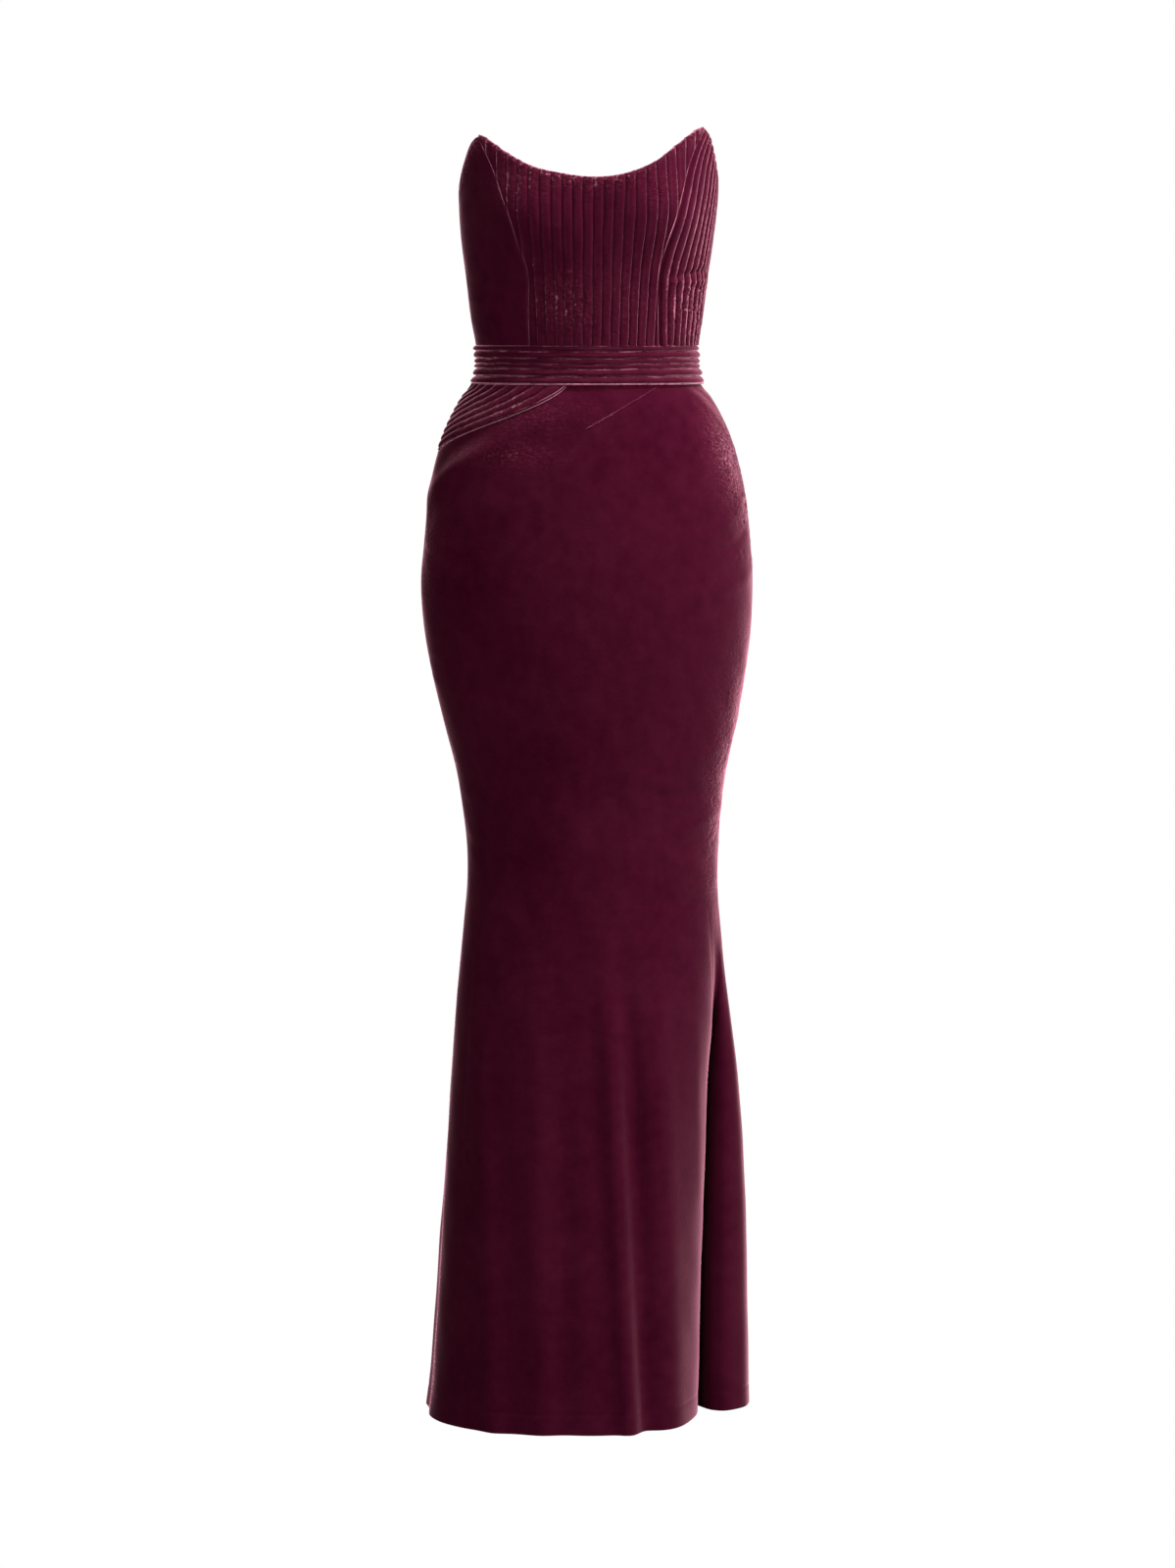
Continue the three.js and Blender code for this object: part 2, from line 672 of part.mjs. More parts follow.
function skirtPanel(angles, top, name, ends) {
  const wall = new Wall();
  const place = (index, level) => {
    let angle = angles[index];
    const crown = top(angle);
    const start = SKIRT_ROWS.findIndex((row) => row < crown - 7);
    const z = level < start ? lerp(crown, SKIRT_ROWS[start], level / start) : SKIRT_ROWS[level];
    if (index === 0) {
      angle += ends.first * angleOf(SEAM_GAP / 2, angle, z);
    } else if (index === angles.length - 1) {
      angle += ends.last * angleOf(SEAM_GAP / 2, angle, z);
    }
    return [angle, z];
  };
  wall.patch({
    outer: (index, level) => formPoint(...place(index, level)),
    inner: (index, level) => formPoint(...place(index, level), -SKIRT_CLOTH),
    across: angles.map((_, index) => index),
    along: SKIRT_ROWS.map((_, level) => level),
    rims: ['left', 'right', 'bottom', 'top'],
  });
  return wall.mesh(name, VELVET);
}

function skirtFront() {
  const hipAngles = HIP_STOPS.map((t) => HIP.startAngle - (HIP.startAngle + 90) * t).reverse();
  const angles = [...hipAngles, ...stops(HIP.startAngle, FOLD.from, 12).slice(1),
    ...stops(FOLD.from, 90, 16).slice(1)];
  return skirtPanel(angles, hipSeam, 'skirt_front', { first: 1, last: -1 });
}

function skirtBack(side, name) {
  const angles = side === 'right' ? stops(-180, -90, 13) : stops(90, 180, 13);
  return skirtPanel(angles, () => SKIRT_TOP, name, { first: 1, last: -1 });
}

// The zip's tape lies inside the centre back seam
function zipTape() {
  const wall = new Wall();
  const foot = BAND_TOP + SEAM_GAP;
  const bodiceRows = stops(foot, neck(180), BACK_ROWS).slice(1, -1);
  const skirtRows = SKIRT_ROWS.filter((row) => row >= ZIP.bottom).reverse();
  const heights = [...skirtRows, BAND_BOTTOM, ...stops(BAND_BOTTOM, BAND_TOP, 3).slice(1), foot, ...bodiceRows];
  const inset = BODICE_CLOTH + SEAM_GAP;
  const place = (step, z, out) => {
    const angle = 180 - Math.abs(step) * angleOf(ZIP.tapeHalf, 180, z);
    const point = formPoint(angle, z, -out);
    point.x *= Math.sign(step);
    return point;
  };
  wall.patch({
    outer: (step, z) => place(step, z, inset),
    inner: (step, z) => place(step, z, inset + ZIP.tapeThick),
    across: [1, 0.5, 0, -0.5, -1],
    along: heights,
    rims: ['left', 'right', 'bottom', 'top'],
  });
  return wall.mesh('zip_tape', VELVET);
}

const SLIDER = { wide: 2.2, tall: 9, thick: 1.6, eye: 1.3, ring: 2.2, reach: 2.3 };
const PULL = { strip: 0.4, slot: 3, slotEnd: 2.7, wide: 6.4, long: 24, thick: 0.9, tipWide: 3.2 };

// The slider lies on the seam just under the neck edge, with a ring for the pull
function zipSeat() {
  return formPoint(180, ZIP.sliderTop - SLIDER.tall).y + SEAM_GAP + 0.35;
}

function zipSlider() {
  const half = Math.sqrt(SLIDER.ring ** 2 - (SLIDER.reach - SLIDER.thick) ** 2);
  const outline = new THREE.Shape();
  const turn = Math.asin(half / SLIDER.ring);
  outline.moveTo(0, -SLIDER.tall / 2);
  outline.lineTo(SLIDER.thick, -SLIDER.tall / 2);
  outline.lineTo(SLIDER.thick, -half);
  outline.absarc(SLIDER.reach, 0, SLIDER.ring, Math.PI + turn, 3 * Math.PI - turn, false);
  outline.lineTo(SLIDER.thick, SLIDER.tall / 2);
  outline.lineTo(0, SLIDER.tall / 2);
  const eye = new THREE.Path();
  eye.absarc(SLIDER.reach, 0, SLIDER.eye, 0, 2 * Math.PI, true);
  outline.holes.push(eye);
  const geometry = new THREE.ExtrudeGeometry(outline, { depth: SLIDER.wide, bevelEnabled: false, curveSegments: 6 });
  geometry.translate(0, 0, -SLIDER.wide / 2);
  const slider = named(geometry, 'zip_slider', METAL);
  slider.rotation.set(Math.PI / 2, 0, Math.PI / 2, 'ZXY');
  slider.position.set(0, zipSeat(), ZIP.sliderTop - SLIDER.tall / 2);
  return slider;
}

// The pull hangs from the ring; its top strip turns inside the ring's eye
function zipPull() {
  const outline = new THREE.Shape();
  outline.moveTo(-PULL.wide / 2, PULL.strip);
  outline.lineTo(PULL.wide / 2, PULL.strip);
  outline.lineTo(PULL.wide / 2, -PULL.slotEnd - 1);
  outline.quadraticCurveTo(PULL.tipWide / 2, -PULL.long / 2, PULL.wide / 2, -PULL.long * 0.8);
  outline.absarc(0, -PULL.long * 0.8, PULL.wide / 2, 0, -Math.PI, true);
  outline.quadraticCurveTo(-PULL.tipWide / 2, -PULL.long / 2, -PULL.wide / 2, -PULL.slotEnd - 1);
  const slot = new THREE.Path();
  slot.moveTo(-PULL.slot / 2, -PULL.strip);
  slot.lineTo(-PULL.slot / 2, -PULL.slotEnd);
  slot.lineTo(PULL.slot / 2, -PULL.slotEnd);
  slot.lineTo(PULL.slot / 2, -PULL.strip);
  outline.holes.push(slot);
  const geometry = new THREE.ExtrudeGeometry(outline, { depth: PULL.thick, bevelEnabled: false, curveSegments: 8 });
  geometry.translate(0, 0, -PULL.thick / 2);
  const pull = named(geometry, 'zip_pull', METAL);
  pull.rotation.x = Math.PI / 2;
  pull.position.set(0, zipSeat() + SLIDER.reach, ZIP.sliderTop - SLIDER.tall / 2);
  return pull;
}

const gown = new THREE.Group();
gown.add(
  bodiceCentreFront(),
  bodiceSideFront('right', 'bodice_side_front_right', false),
  bodiceSideFront('left', 'bodice_side_front_left', true),
  bodiceBack('right', 'bodice_back_right'),
  bodiceBack('left', 'bodice_back_left'),
  waistband(-90, 90, 22, 'waistband_front'),
  waistband(-180, -90, 10, 'waistband_back_right'),
  waistband(90, 180, 10, 'waistband_back_left'),
  hipPanel(),
  skirtFront(),
  skirtBack('right', 'skirt_back_right'),
  skirtBack('left', 'skirt_back_left'),
  zipTape(),
  zipSlider(),
  zipPull(),
);

export default gown;
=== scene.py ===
# Strapless trumpet gown in wine velvet, worn and hollow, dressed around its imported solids.
# Sizes are millimetres until a point is placed, and then metres. +Z is up, the front faces -Y,
# and angles are degrees round the body: 0 the centre front, +90 the wearer's left side.
import math

import bmesh
import bpy
import numpy as np
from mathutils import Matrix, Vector


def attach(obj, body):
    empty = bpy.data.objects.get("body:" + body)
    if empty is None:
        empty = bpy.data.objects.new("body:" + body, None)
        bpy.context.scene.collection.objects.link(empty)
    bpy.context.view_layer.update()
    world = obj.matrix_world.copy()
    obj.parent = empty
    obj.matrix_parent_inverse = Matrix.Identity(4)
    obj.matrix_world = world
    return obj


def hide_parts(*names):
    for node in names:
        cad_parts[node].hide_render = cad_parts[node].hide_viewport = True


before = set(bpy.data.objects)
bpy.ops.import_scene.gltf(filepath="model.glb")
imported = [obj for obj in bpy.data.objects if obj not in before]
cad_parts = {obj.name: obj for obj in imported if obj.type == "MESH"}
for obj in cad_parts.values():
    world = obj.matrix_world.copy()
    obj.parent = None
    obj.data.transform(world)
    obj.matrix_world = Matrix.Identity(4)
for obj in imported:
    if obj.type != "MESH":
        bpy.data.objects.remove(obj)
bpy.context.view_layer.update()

MM = 0.001
BAND_TOP = 25
BAND_BOTTOM = -15
HEM = -1135
KNEE = -548
BODICE_CLOTH = 2.2
SKIRT_CLOTH = 1.8
EDGE_ROUNDING = {"width": 0.45, "segments": 2, "sharper_than": 72}
# Below zero, the two sides of a seam overlap by that much, and no light shows through it
SEAM_GAP = -0.1
CENTRE_BACK_GAP = -0.5
# Angles where the centre front and the side fronts end at the two peaks of the neck edge
CENTRE_TIPS = (-64.6, 61.4)
SIDE_TIPS = {"right": -64.9, "left": 61.8}
NECK_TURN = 75
BUST = {"angle": 31, "height": 163, "lift": 13, "wide": 21, "tall": 46}
CHANNEL = {"centre": 10.27, "pitch_waist": 9.5, "pitch_top": 10.9, "depth": 3.0}
SIDE_RIBS = {"count": 10, "depth": 3.2}
HIP = {"start": -13.5, "drop": 72, "bend": 0.64, "tucks": 9, "depth": 4.0}
FOLD = {"start": 60, "lobe_angle": 84, "full": -790}


def table(columns, rows):
    """Named columns of numbers from short rows."""
    return {name: np.array(values, float) for name, values in zip(columns, zip(*rows))}


# Half widths and depths of the worn form at each height
FORM = table(
    ("z", "right", "left", "front", "back"),
    [
        (262, 136, 135.5, 108, 97),
        (215, 137, 136.5, 106, 97),
        (183, 137.5, 136.5, 104, 98),
        (140, 135, 132, 101, 97),
        (98, 130, 126, 96, 93),
        (55, 125, 120.5, 90, 89),
        (28, 120, 116.5, 87, 86),
        (12, 118.3, 117, 85.5, 85),
        (-6, 118.8, 118.8, 86, 86),
        (-18, 123, 122.5, 89, 90),
        (-30, 133, 132.5, 92, 95),
        (-56, 147.5, 147, 97, 104),
        (-83, 158.5, 158, 101, 113),
        (-109, 165.5, 165, 104, 120),
        (-145, 171.5, 171.5, 107, 128),
        (-189, 175.8, 175.8, 109, 134),
        (-226, 179, 178, 110, 136),
        (-269, 176.5, 177, 109, 133),
        (-322, 168, 171.5, 106, 125),
        (-375, 155.6, 162, 102, 114),
        (-428, 142, 151, 98, 104),
        (-470, 135, 145, 95, 97),
        (-508, 130.5, 142, 94, 93),
        (-548, 130, 141, 94, 93),
        (-587, 133, 143, 95, 97),
        (-667, 141, 152, 98, 109),
        (-773, 148.5, 166, 103, 126),
        (-879, 155, 174, 107, 143),
        (-986, 161.5, 177.5, 112, 160),
        (-1092, 168.5, 180, 116, 174),
        (-1135, 173.6, 181, 118, 180),
    ],
)

# The neck edge, from the centre back over both peaks and round again
NECK = table(
    ("angle", "z"),
    [
        (-180, 163), (-150, 166), (-115, 178), (-90, 195), (-85, 205), (-80, 216), (-72, 235.5),
        (-67, 242.5), (-63, 245), (-56, 240), (-44, 226), (-30.5, 211.5), (-16.3, 203.5),
        (-2.8, 200), (10.7, 203.5), (25.2, 216), (38.8, 235), (52, 250), (60, 254), (66, 250.5),
        (74.5, 228), (79.5, 214), (84, 206), (90, 195), (115, 178), (150, 166), (180, 163),
    ],
)

# Angle of each princess seam at each height
PRINCESS = table(
    ("z", "right", "left"),
    [
        (23, -35.3, 37.2),
        (60, -34, 34.6),
        (100, -32.8, 32.7),
        (132, -36, 34),
        (155, -38.2, 36.3),
        (180, -42.8, 39.6),
        (209, -50, 45.8),
        (231, -57.6, 52.3),
        (256, -66, 63),
    ],
)

# Edge of the front lobe over the deep fold, and how far its side seam swings back
LOBE = table(
    ("z", "edge", "seat", "side_seat"),
    [
        (-548, 138, 0, 0),
        (-587, 134.5, -4, 2),
        (-773, 130, -3, 10),
        (-879, 127, -2, 15),
        (-986, 123.5, -1, 19),
        (-1135, 120.5, 0, 24),
    ],
)

# The deep fold: steps from the lobe's edge, as shares of the rear lobe's reach
FOLD_STEPS = table(
    ("out", "back"),
    [
        (-0.02, -0.16), (0, 0), (-0.05, 0.13), (-0.17, 0.27), (-0.14, 0.39), (-0.03, 0.34),
        (0.07, 0.13), (0.23, -0.15), (0.47, -0.25), (0.7, -0.13), (0.9, 0.08), (1, 0.4),
    ],
)

# Soft ridges and troughs down the front of the flare, placed across the front
FRONT_RIDGES = [
    {"start": -590, "full": -900, "x_top": -123, "x_hem": -109, "wide": 13, "high": 5},
    {"start": -590, "full": -760, "x_top": -68, "x_hem": -58, "wide": 17, "high": 3},
    {"start": -560, "full": -800, "x_top": 6, "x_hem": 34, "wide": 11, "high": 8},
    {"start": -560, "full": -820, "x_top": 30, "x_hem": 57, "wide": 10, "high": -6},
    {"start": -560, "full": -800, "x_top": 58, "x_hem": 82, "wide": 20, "high": 7},
    {"start": -640, "full": -1000, "x_top": -30, "x_hem": -38, "wide": 20, "high": -3},
]

# Soft flutes round the back of the flare
BACK_FLUTES = table(
    ("angle", "wide", "high"),
    [(-163, 11, 16), (-132, 9, 13), (-108, 7, 8), (122, 8, 11), (146, 10, 15), (170, 9, 12)],
)

# The lit swell that runs down to the side under the hip tucks
SWELL = {"angle_top": -28, "z_top": -62, "angle_side": -72, "z_side": -118, "wide": 15, "high": 5.5}

# The six level tucks of the waistband, from the top
BAND_TUCKS = table(
    ("tall", "out"),
    [(5.7, 2.4), (8, 2.8), (5.8, 2.4), (5, 2.4), (8.3, 3.8), (8.2, 4.2)],
)


def smooth(value):
    value = np.clip(value, 0, 1)
    return value * value * (3 - 2 * value)


def bell(value):
    return np.exp(-np.square(value))


def mix(low, high, share):
    return low + (high - low) * share


def curve(rows, key, column, at):
    """A smooth curve through one column of a table, read against another."""
    places, values = rows[key], rows[column]
    if places[0] > places[-1]:
        places, values = places[::-1], values[::-1]
    at = np.clip(np.asarray(at, float), places[0], places[-1])
    row = np.clip(np.searchsorted(places, at, side="left") - 1, 0, len(places) - 2)
    slopes = np.empty_like(values)
    slopes[1:-1] = (values[2:] - values[:-2]) / (places[2:] - places[:-2])
    slopes[0] = (values[1] - values[0]) / (places[1] - places[0])
    slopes[-1] = (values[-1] - values[-2]) / (places[-1] - places[-2])
    span = places[row + 1] - places[row]
    t = (at - places[row]) / span
    rise = values[row + 1] - values[row]
    start, end = slopes[row] * span, slopes[row + 1] * span
    return values[row] + t * (start + t * (3 * rise - 2 * start - end + t * (start + end - 2 * rise)))


def form(column, z):
    return curve(FORM, "z", column, z)


def neck(angle):
    return curve(NECK, "angle", "z", angle)


def princess(side, z):
    return curve(PRINCESS, "z", side, z)


def half_width(side_sign, z):
    return np.where(side_sign < 0, form("right", z), form("left", z))


def plain_point(angle, z):
    """The plain section: an ellipse with its own depth in front and behind."""
    turn = np.radians(angle)
    depth = np.where(np.abs(angle) <= 90, form("front", z), form("back", z))
    return half_width(angle, z) * np.sin(turn), -depth * np.cos(turn)


def spline(points, share):
    """A curve through evenly timed points, given as a list of arrays."""
    last = len(points) - 1
    stack = np.stack(points)
    at = np.clip(share, 0, 1) * last
    row = np.clip(np.floor(at).astype(int), 0, last - 1)
    t = at - row
    pick = np.arange(stack.shape[1])
    before, first = stack[np.maximum(row - 1, 0), pick], stack[row, pick]
    second, after = stack[row + 1, pick], stack[np.minimum(row + 2, last), pick]
    start, end = (second - before) / 2, (after - first) / 2
    rise = second - first
    return first + t * (start + t * (3 * rise - 2 * start - end + t * (start + end - 2 * rise)))


def folded_point(angle, z):
    """The left side below the knee: a front lobe, the deep fold and a rear lobe."""
    reach, front, back = form("left", z), form("front", z), form("back", z)
    edge = np.minimum(curve(LOBE, "z", "edge", z), reach - 3)
    seat, side_seat = curve(LOBE, "z", "seat", z), curve(LOBE, "z", "side_seat", z)
    turn = np.radians(np.where(angle > 90, angle, angle * FOLD["lobe_angle"] / FOLD["start"]))
    behind = (reach * np.sin(turn), side_seat - (back - side_seat) * np.cos(turn))
    lobe = (edge * np.sin(turn), seat - (front + seat) * np.cos(turn))
    size = reach - edge
    last_turn = math.radians(FOLD["lobe_angle"])
    out = [edge + step * size for step in FOLD_STEPS["out"]]
    deep = [seat + step * size for step in FOLD_STEPS["back"]]
    out[0], deep[0] = edge * math.sin(last_turn), seat - (front + seat) * math.cos(last_turn)
    out[-1], deep[-1] = reach, side_seat
    share = (angle - FOLD["start"]) / (90 - FOLD["start"])
    fold = (spline(out, share), spline(deep, share))
    pick = [angle > 90, angle < FOLD["start"]]
    return tuple(np.select(pick, [behind[axis], lobe[axis]], fold[axis]) for axis in (0, 1))


def section(angle, z):
    """The section before its soft folds."""
    x, y = plain_point(angle, z)
    fold_x, fold_y = folded_point(angle, z)
    opened = smooth((KNEE - z) / (KNEE - FOLD["full"])) * ((angle > 0) & (z < KNEE))
    return mix(x, fold_x, opened), mix(y, fold_y, opened)


def soft_folds(angle, z, across):
    """Bust shaping, the hip swell and the flare's ridges, as a distance out."""
    beside = bell((np.abs(angle) - BUST["angle"]) / BUST["wide"])
    bust = beside * bell((z - BUST["height"]) / BUST["tall"])
    out = BUST["lift"] * bust * smooth((z - BAND_TOP) / 60) * (z > BAND_TOP)
    along = (angle - SWELL["angle_top"]) / (SWELL["angle_side"] - SWELL["angle_top"])
    along = np.clip(along, -0.3, 1.3)
    middle = mix(SWELL["z_top"], SWELL["z_side"], along)
    swell = SWELL["high"] * bell((z - middle) / SWELL["wide"]) * bell((along - 0.5) / 0.75)
    out = out + swell * ((z < BAND_BOTTOM) & (z > -260) & (angle < 0) & (angle > -95))
    in_front = (z < KNEE) & (np.abs(angle) <= FOLD["start"] + 4)
    for ridge in FRONT_RIDGES:
        place = mix(ridge["x_top"], ridge["x_hem"], (ridge["start"] - z) / (ridge["start"] - HEM))
        grown = smooth((ridge["start"] - z) / (ridge["start"] - ridge["full"]))
        out = out + ridge["high"] * grown * bell((across - place) / ridge["wide"]) * in_front
    behind = smooth((KNEE - z) / (KNEE - HEM)) * smooth((np.abs(angle) - 90) / 14)
    for middle, wide, high in zip(*BACK_FLUTES.values()):
        off = (angle - middle + 180) % 360 - 180
        out = out + high * behind * bell(off / wide) * (np.abs(angle) > 90)
    return out


def form_point(angle, z, out=0):
    """Points of the worn form, moved out by a distance level with the floor."""
    step = 0.4
    x, y = section(angle, z)
    before = section(np.clip(angle - step, -180, 180), z)
    after = section(np.clip(angle + step, -180, 180), z)
    along = np.stack([after[0] - before[0], after[1] - before[1]])
    along = along / np.linalg.norm(along, axis=0)
    shift = out + soft_folds(angle, z, x)
    return np.stack([x + along[1] * shift, y - along[0] * shift, z], axis=1)


def angle_of(distance, angle, z):
    """The angle that moves a point of the form by a distance along its section."""
    step = np.where(angle > 0, -0.5, 0.5)
    here, there = section(angle, z), section(angle + step, z)
    return distance * 0.5 / np.hypot(there[0] - here[0], there[1] - here[1])


def seam_angle(side, z, outward):
    """The princess seam's angle, drawn off by half the gap to one side of it."""
    angle = princess(side, z)
    return angle + outward * angle_of(SEAM_GAP / 2, angle, z)


# Creases lie on the cloth as short curved strokes: where they start and end, how far
# the middle bows, how wide they are, and how far they stand out or sink
ARC = 2.2


def creases(rows, angle, z):
    out = np.zeros_like(z)
    across = angle * ARC
    for start_angle, start_z, end_angle, end_z, bow, wide, high in rows:
        dx, dz = (end_angle - start_angle) * ARC, end_z - start_z
        length = math.hypot(dx, dz)
        px, pz = across - start_angle * ARC, z - start_z
        t = np.clip((px * dx + pz * dz) / length**2, 0, 1)
        off = (pz * dx - px * dz) / length - bow * 4 * t * (1 - t)
        beyond = np.hypot(px - t * dx, pz - t * dz) - np.abs((pz * dx - px * dz) / length)
        taper = np.sqrt(np.clip(np.sin(math.pi * t), 0, 1))
        out += high * bell(off / wide) * taper * bell(beyond / wide)
    return out


def scattered(seed, count, angles, heights, tilt, long, wide, high, bow=2.0):
    """Uneven small creases over one zone, each with its own length, slant and depth."""
    random = np.random.default_rng(seed)
    rows = []
    for _ in range(count):
        angle = random.uniform(*angles)
        z = random.uniform(*heights)
        reach = random.uniform(*long)
        slant = math.radians(random.uniform(*tilt))
        across = (angle - angles[0]) / (angles[1] - angles[0])
        up = (z - heights[0]) / (heights[1] - heights[0])
        fade = min(1, 4 * min(across, 1 - across), 4 * min(up, 1 - up))
        rows.append((
            angle - reach * math.cos(slant) / ARC / 2, z - reach * math.sin(slant) / 2,
            angle + reach * math.cos(slant) / ARC / 2, z + reach * math.sin(slant) / 2,
            random.uniform(-bow, bow), random.uniform(*wide), fade * random.uniform(*high),
        ))
    return rows


SKIRT_CREASES = [
    (-34, -100, -84, -165, -5, 12, -1.6),
    (-20, -130, -78, -215, -8, 18, 1.2),
    (10, -22, 2, -58, 2, 6, 0.8),
    (-4, -20, -10, -52, 2, 7, -0.7),
    (52, -20, 78, -84, 6, 7, 1.2),
    (60, -20, 86, -60, 5, 5, -1.0),
    (40, -20, 60, -110, 8, 9, -0.8),
    (84, -120, 38, -178, 6, 8, 1.0),
    (86, -150, 46, -196, 5, 6, -0.9),
    (88, -205, 30, -240, 7, 9, 0.9),
    (-88, -180, -50, -196, 4, 6, 1.0),
    (-88, -192, -58, -214, 4, 4, -0.9),
    (-86, -330, -30, -372, 8, 11, 1.0),
    (88, -372, 24, -420, 10, 12, 1.2),
    (86, -430, 20, -452, 8, 9, -1.1),
    (88, -470, 34, -500, -6, 9, 1.3),
    (-88, -452, -26, -474, 8, 10, 1.2),
    (-88, -500, -34, -520, -5, 8, -1.0),
    (80, -545, 30, -512, 6, 10, 1.2),
    (78, -566, 18, -560, 5, 9, -0.9),
    (-84, -560, -30, -600, 9, 12, 1.0),
    (30, -600, 8, -760, 9, 14, 1.0),
    (-46, -640, -38, -900, 8, 14, 1.2),
    (44, -700, 50, -900, -4, 8, 1.0),
    (-8, -720, -10, -1080, 6, 16, 1.4),
]
SKIRT_CREASES += scattered(
    11, 170, (48, 90), (-225, -36), (-14, 12), (5, 15), (1.3, 2.2), (-1.1, 1.0), 0.8)
SKIRT_CREASES += scattered(
    12, 110, (50, 90), (-600, -250), (-16, 14), (6, 22), (1.4, 2.8), (-0.8, 0.7), 1.0)
SKIRT_CREASES += scattered(13, 30, (-88, -52), (-560, -150), (-24, 20), (14, 44), (2.4, 5), (-0.8, 0.7))
SKIRT_CREASES += scattered(14, 30, (-60, 50), (-540, -60), (-60, 60), (20, 70), (5, 10), (-0.5, 0.5))
SKIRT_CREASES += scattered(15, 26, (-80, 70), (-1120, -600), (60, 110), (40, 160), (5, 11), (-0.7, 0.7))

BACK_CREASES = [
    (112, -40, 150, -150, 8, 10, 2.2),
    (-112, -44, -146, -160, -8, 10, 2.2),
    (174, -60, 140, -96, 5, 6, -1.6),
    (-174, -70, -136, -104, -5, 6, -1.6),
    (100, -240, 165, -286, 8, 12, -2.2),
    (-100, -236, -168, -290, -8, 12, -2.2),
    (98, -300, 150, -352, 8, 10, 2.0),
    (-98, -306, -148, -350, -8, 10, 2.0),
    (104, -430, 176, -462, 9, 12, 2.5),
    (-104, -426, -176, -470, -9, 12, 2.5),
    (100, -480, 168, -500, 6, 9, -2.2),
    (-100, -488, -160, -505, -6, 9, -2.2),
    (112, -540, 160, -560, 5, 9, 1.8),
    (-108, -545, -156, -570, -5, 9, 1.8),
    (150, -640, 158, -900, 8, 14, 2.3),
    (-148, -650, -152, -930, -8, 14, 2.3),
]
BACK_CREASES += scattered(21, 36, (95, 178), (-560, -40), (-35, 35), (20, 60), (3, 8), (-1.0, 0.9))
BACK_CREASES += scattered(22, 36, (-178, -95), (-560, -40), (-35, 35), (20, 60), (3, 8), (-1.0, 0.9))
BACK_CREASES += scattered(23, 20, (95, 178), (-1120, -600), (65, 110), (50, 160), (5, 11), (-0.8, 0.8))
BACK_CREASES += scattered(24, 20, (-178, -95), (-1120, -600), (65, 110), (50, 160), (5, 11), (-0.8, 0.8))

BODICE_CREASES = [
    (-86, 92, -40, 84, 3, 5, -1.1),
    (-88, 74, -50, 62, 3, 6, 0.9),
    (-84, 54, -42, 50, 2, 4, -0.8),
    (-80, 36, -44, 34, 1, 3.5, 0.7),
    (-60, 190, -86, 168, 4, 9, 0.9),
    (-56, 130, -84, 112, 3, 9, 0.8),
]
BODICE_CREASES += scattered(31, 16, (-88, -38), (28, 110), (-14, 14), (10, 34), (1.5, 3), (-0.45, 0.45))
BODICE_CREASES += scattered(32, 12, (-84, -50), (110, 225), (-40, 30), (14, 40), (4, 8), (-0.4, 0.4))

CHANNEL_CREASES = scattered(
    41, 190, (-37, 4), (22, 122), (-8, 12), (4, 11), (1.0, 1.6), (-1.4, 1.4), 0.5)
CHANNEL_CREASES += scattered(
    42, 60, (0, 36), (22, 130), (-14, 12), (5, 14), (1.0, 1.9), (-0.8, 0.8), 0.8)
CHANNEL_CREASES += scattered(
    43, 44, (-44, 42), (115, 215), (-20, 20), (6, 18), (1.3, 2.4), (-0.6, 0.5), 0.8)
RIB_CREASES = [(36, 96, 88, 104, 3, 3.4, -2.0), (38, 88, 84, 92, 2, 3, 1.1)]
RIB_CREASES += scattered(44, 150, (36, 92), (14, 118), (-12, 8), (5, 16), (1.1, 1.9), (-1.8, 1.8), 0.8)
RIB_CREASES += scattered(45, 30, (44, 88), (110, 210), (-30, 30), (6, 18), (1.4, 2.6), (-0.6, 0.6), 1.0)

BODICE_BACK_CREASES = [
    (96, 88, 150, 72, 4, 6, -2.0),
    (-96, 90, -146, 76, -4, 6, -2.0),
    (100, 60, 160, 48, 3, 5, 1.6),
    (-100, 62, -158, 50, -3, 5, 1.6),
    (120, 36, 174, 33, 2, 4, -1.4),
    (-118, 38, -174, 34, -2, 4, -1.4),
    (110, 150, 165, 120, 6, 11, 1.6),
    (-110, 148, -160, 122, -6, 11, 1.6),
]
BODICE_BACK_CREASES += scattered(
    51, 18, (94, 176), (28, 120), (-18, 18), (12, 40), (1.6, 4), (-0.5, 0.5))
BODICE_BACK_CREASES += scattered(
    52, 18, (-176, -94), (28, 120), (-18, 18), (12, 40), (1.6, 4), (-0.5, 0.5))

HIP_CREASES = scattered(
    71, 60, (-86, -20), (-96, -22), (20, 60), (6, 20), (0.9, 1.7), (-0.5, 0.5), 0.8)


def ripple(angle, z, scale, seed):
    """A slow, even wander of the cloth, between -1 and 1, the same in each run."""
    a = np.radians(angle)
    return (
        np.sin(3.1 * a * scale + 0.021 * z * scale + seed)
        + np.sin(7.3 * a * scale - 0.034 * z * scale + 2.1 * seed)
        + np.sin(12.7 * a * scale + 0.052 * z * scale + 3.7 * seed)
    ) / 3


def edge_dip(distance, deep=0.7, wide=2.2):
    """Cloth pulled in beside a seam."""
    return -deep * bell(distance / wide)


def tuck_rise(count, crisp=4, lean=1.0):
    """The rise of a rounded tuck with a groove at each whole number. Over 1 it leans on."""
    share = (count - np.floor(count)) ** lean
    return np.sqrt(np.clip(1 - np.abs(2 * share - 1) ** crisp, 0, 1))


def painted_ridge_highlight(count, place, wide, along):
    """Painted highlight along each tuck's ridge: a pale band at one place across the tuck, where the light
    catches it, uneven along its length.
    """
    share = count - np.floor(count)
    return bell((share - place) / wide) * np.clip(0.62 + 0.5 * along, 0, 1)


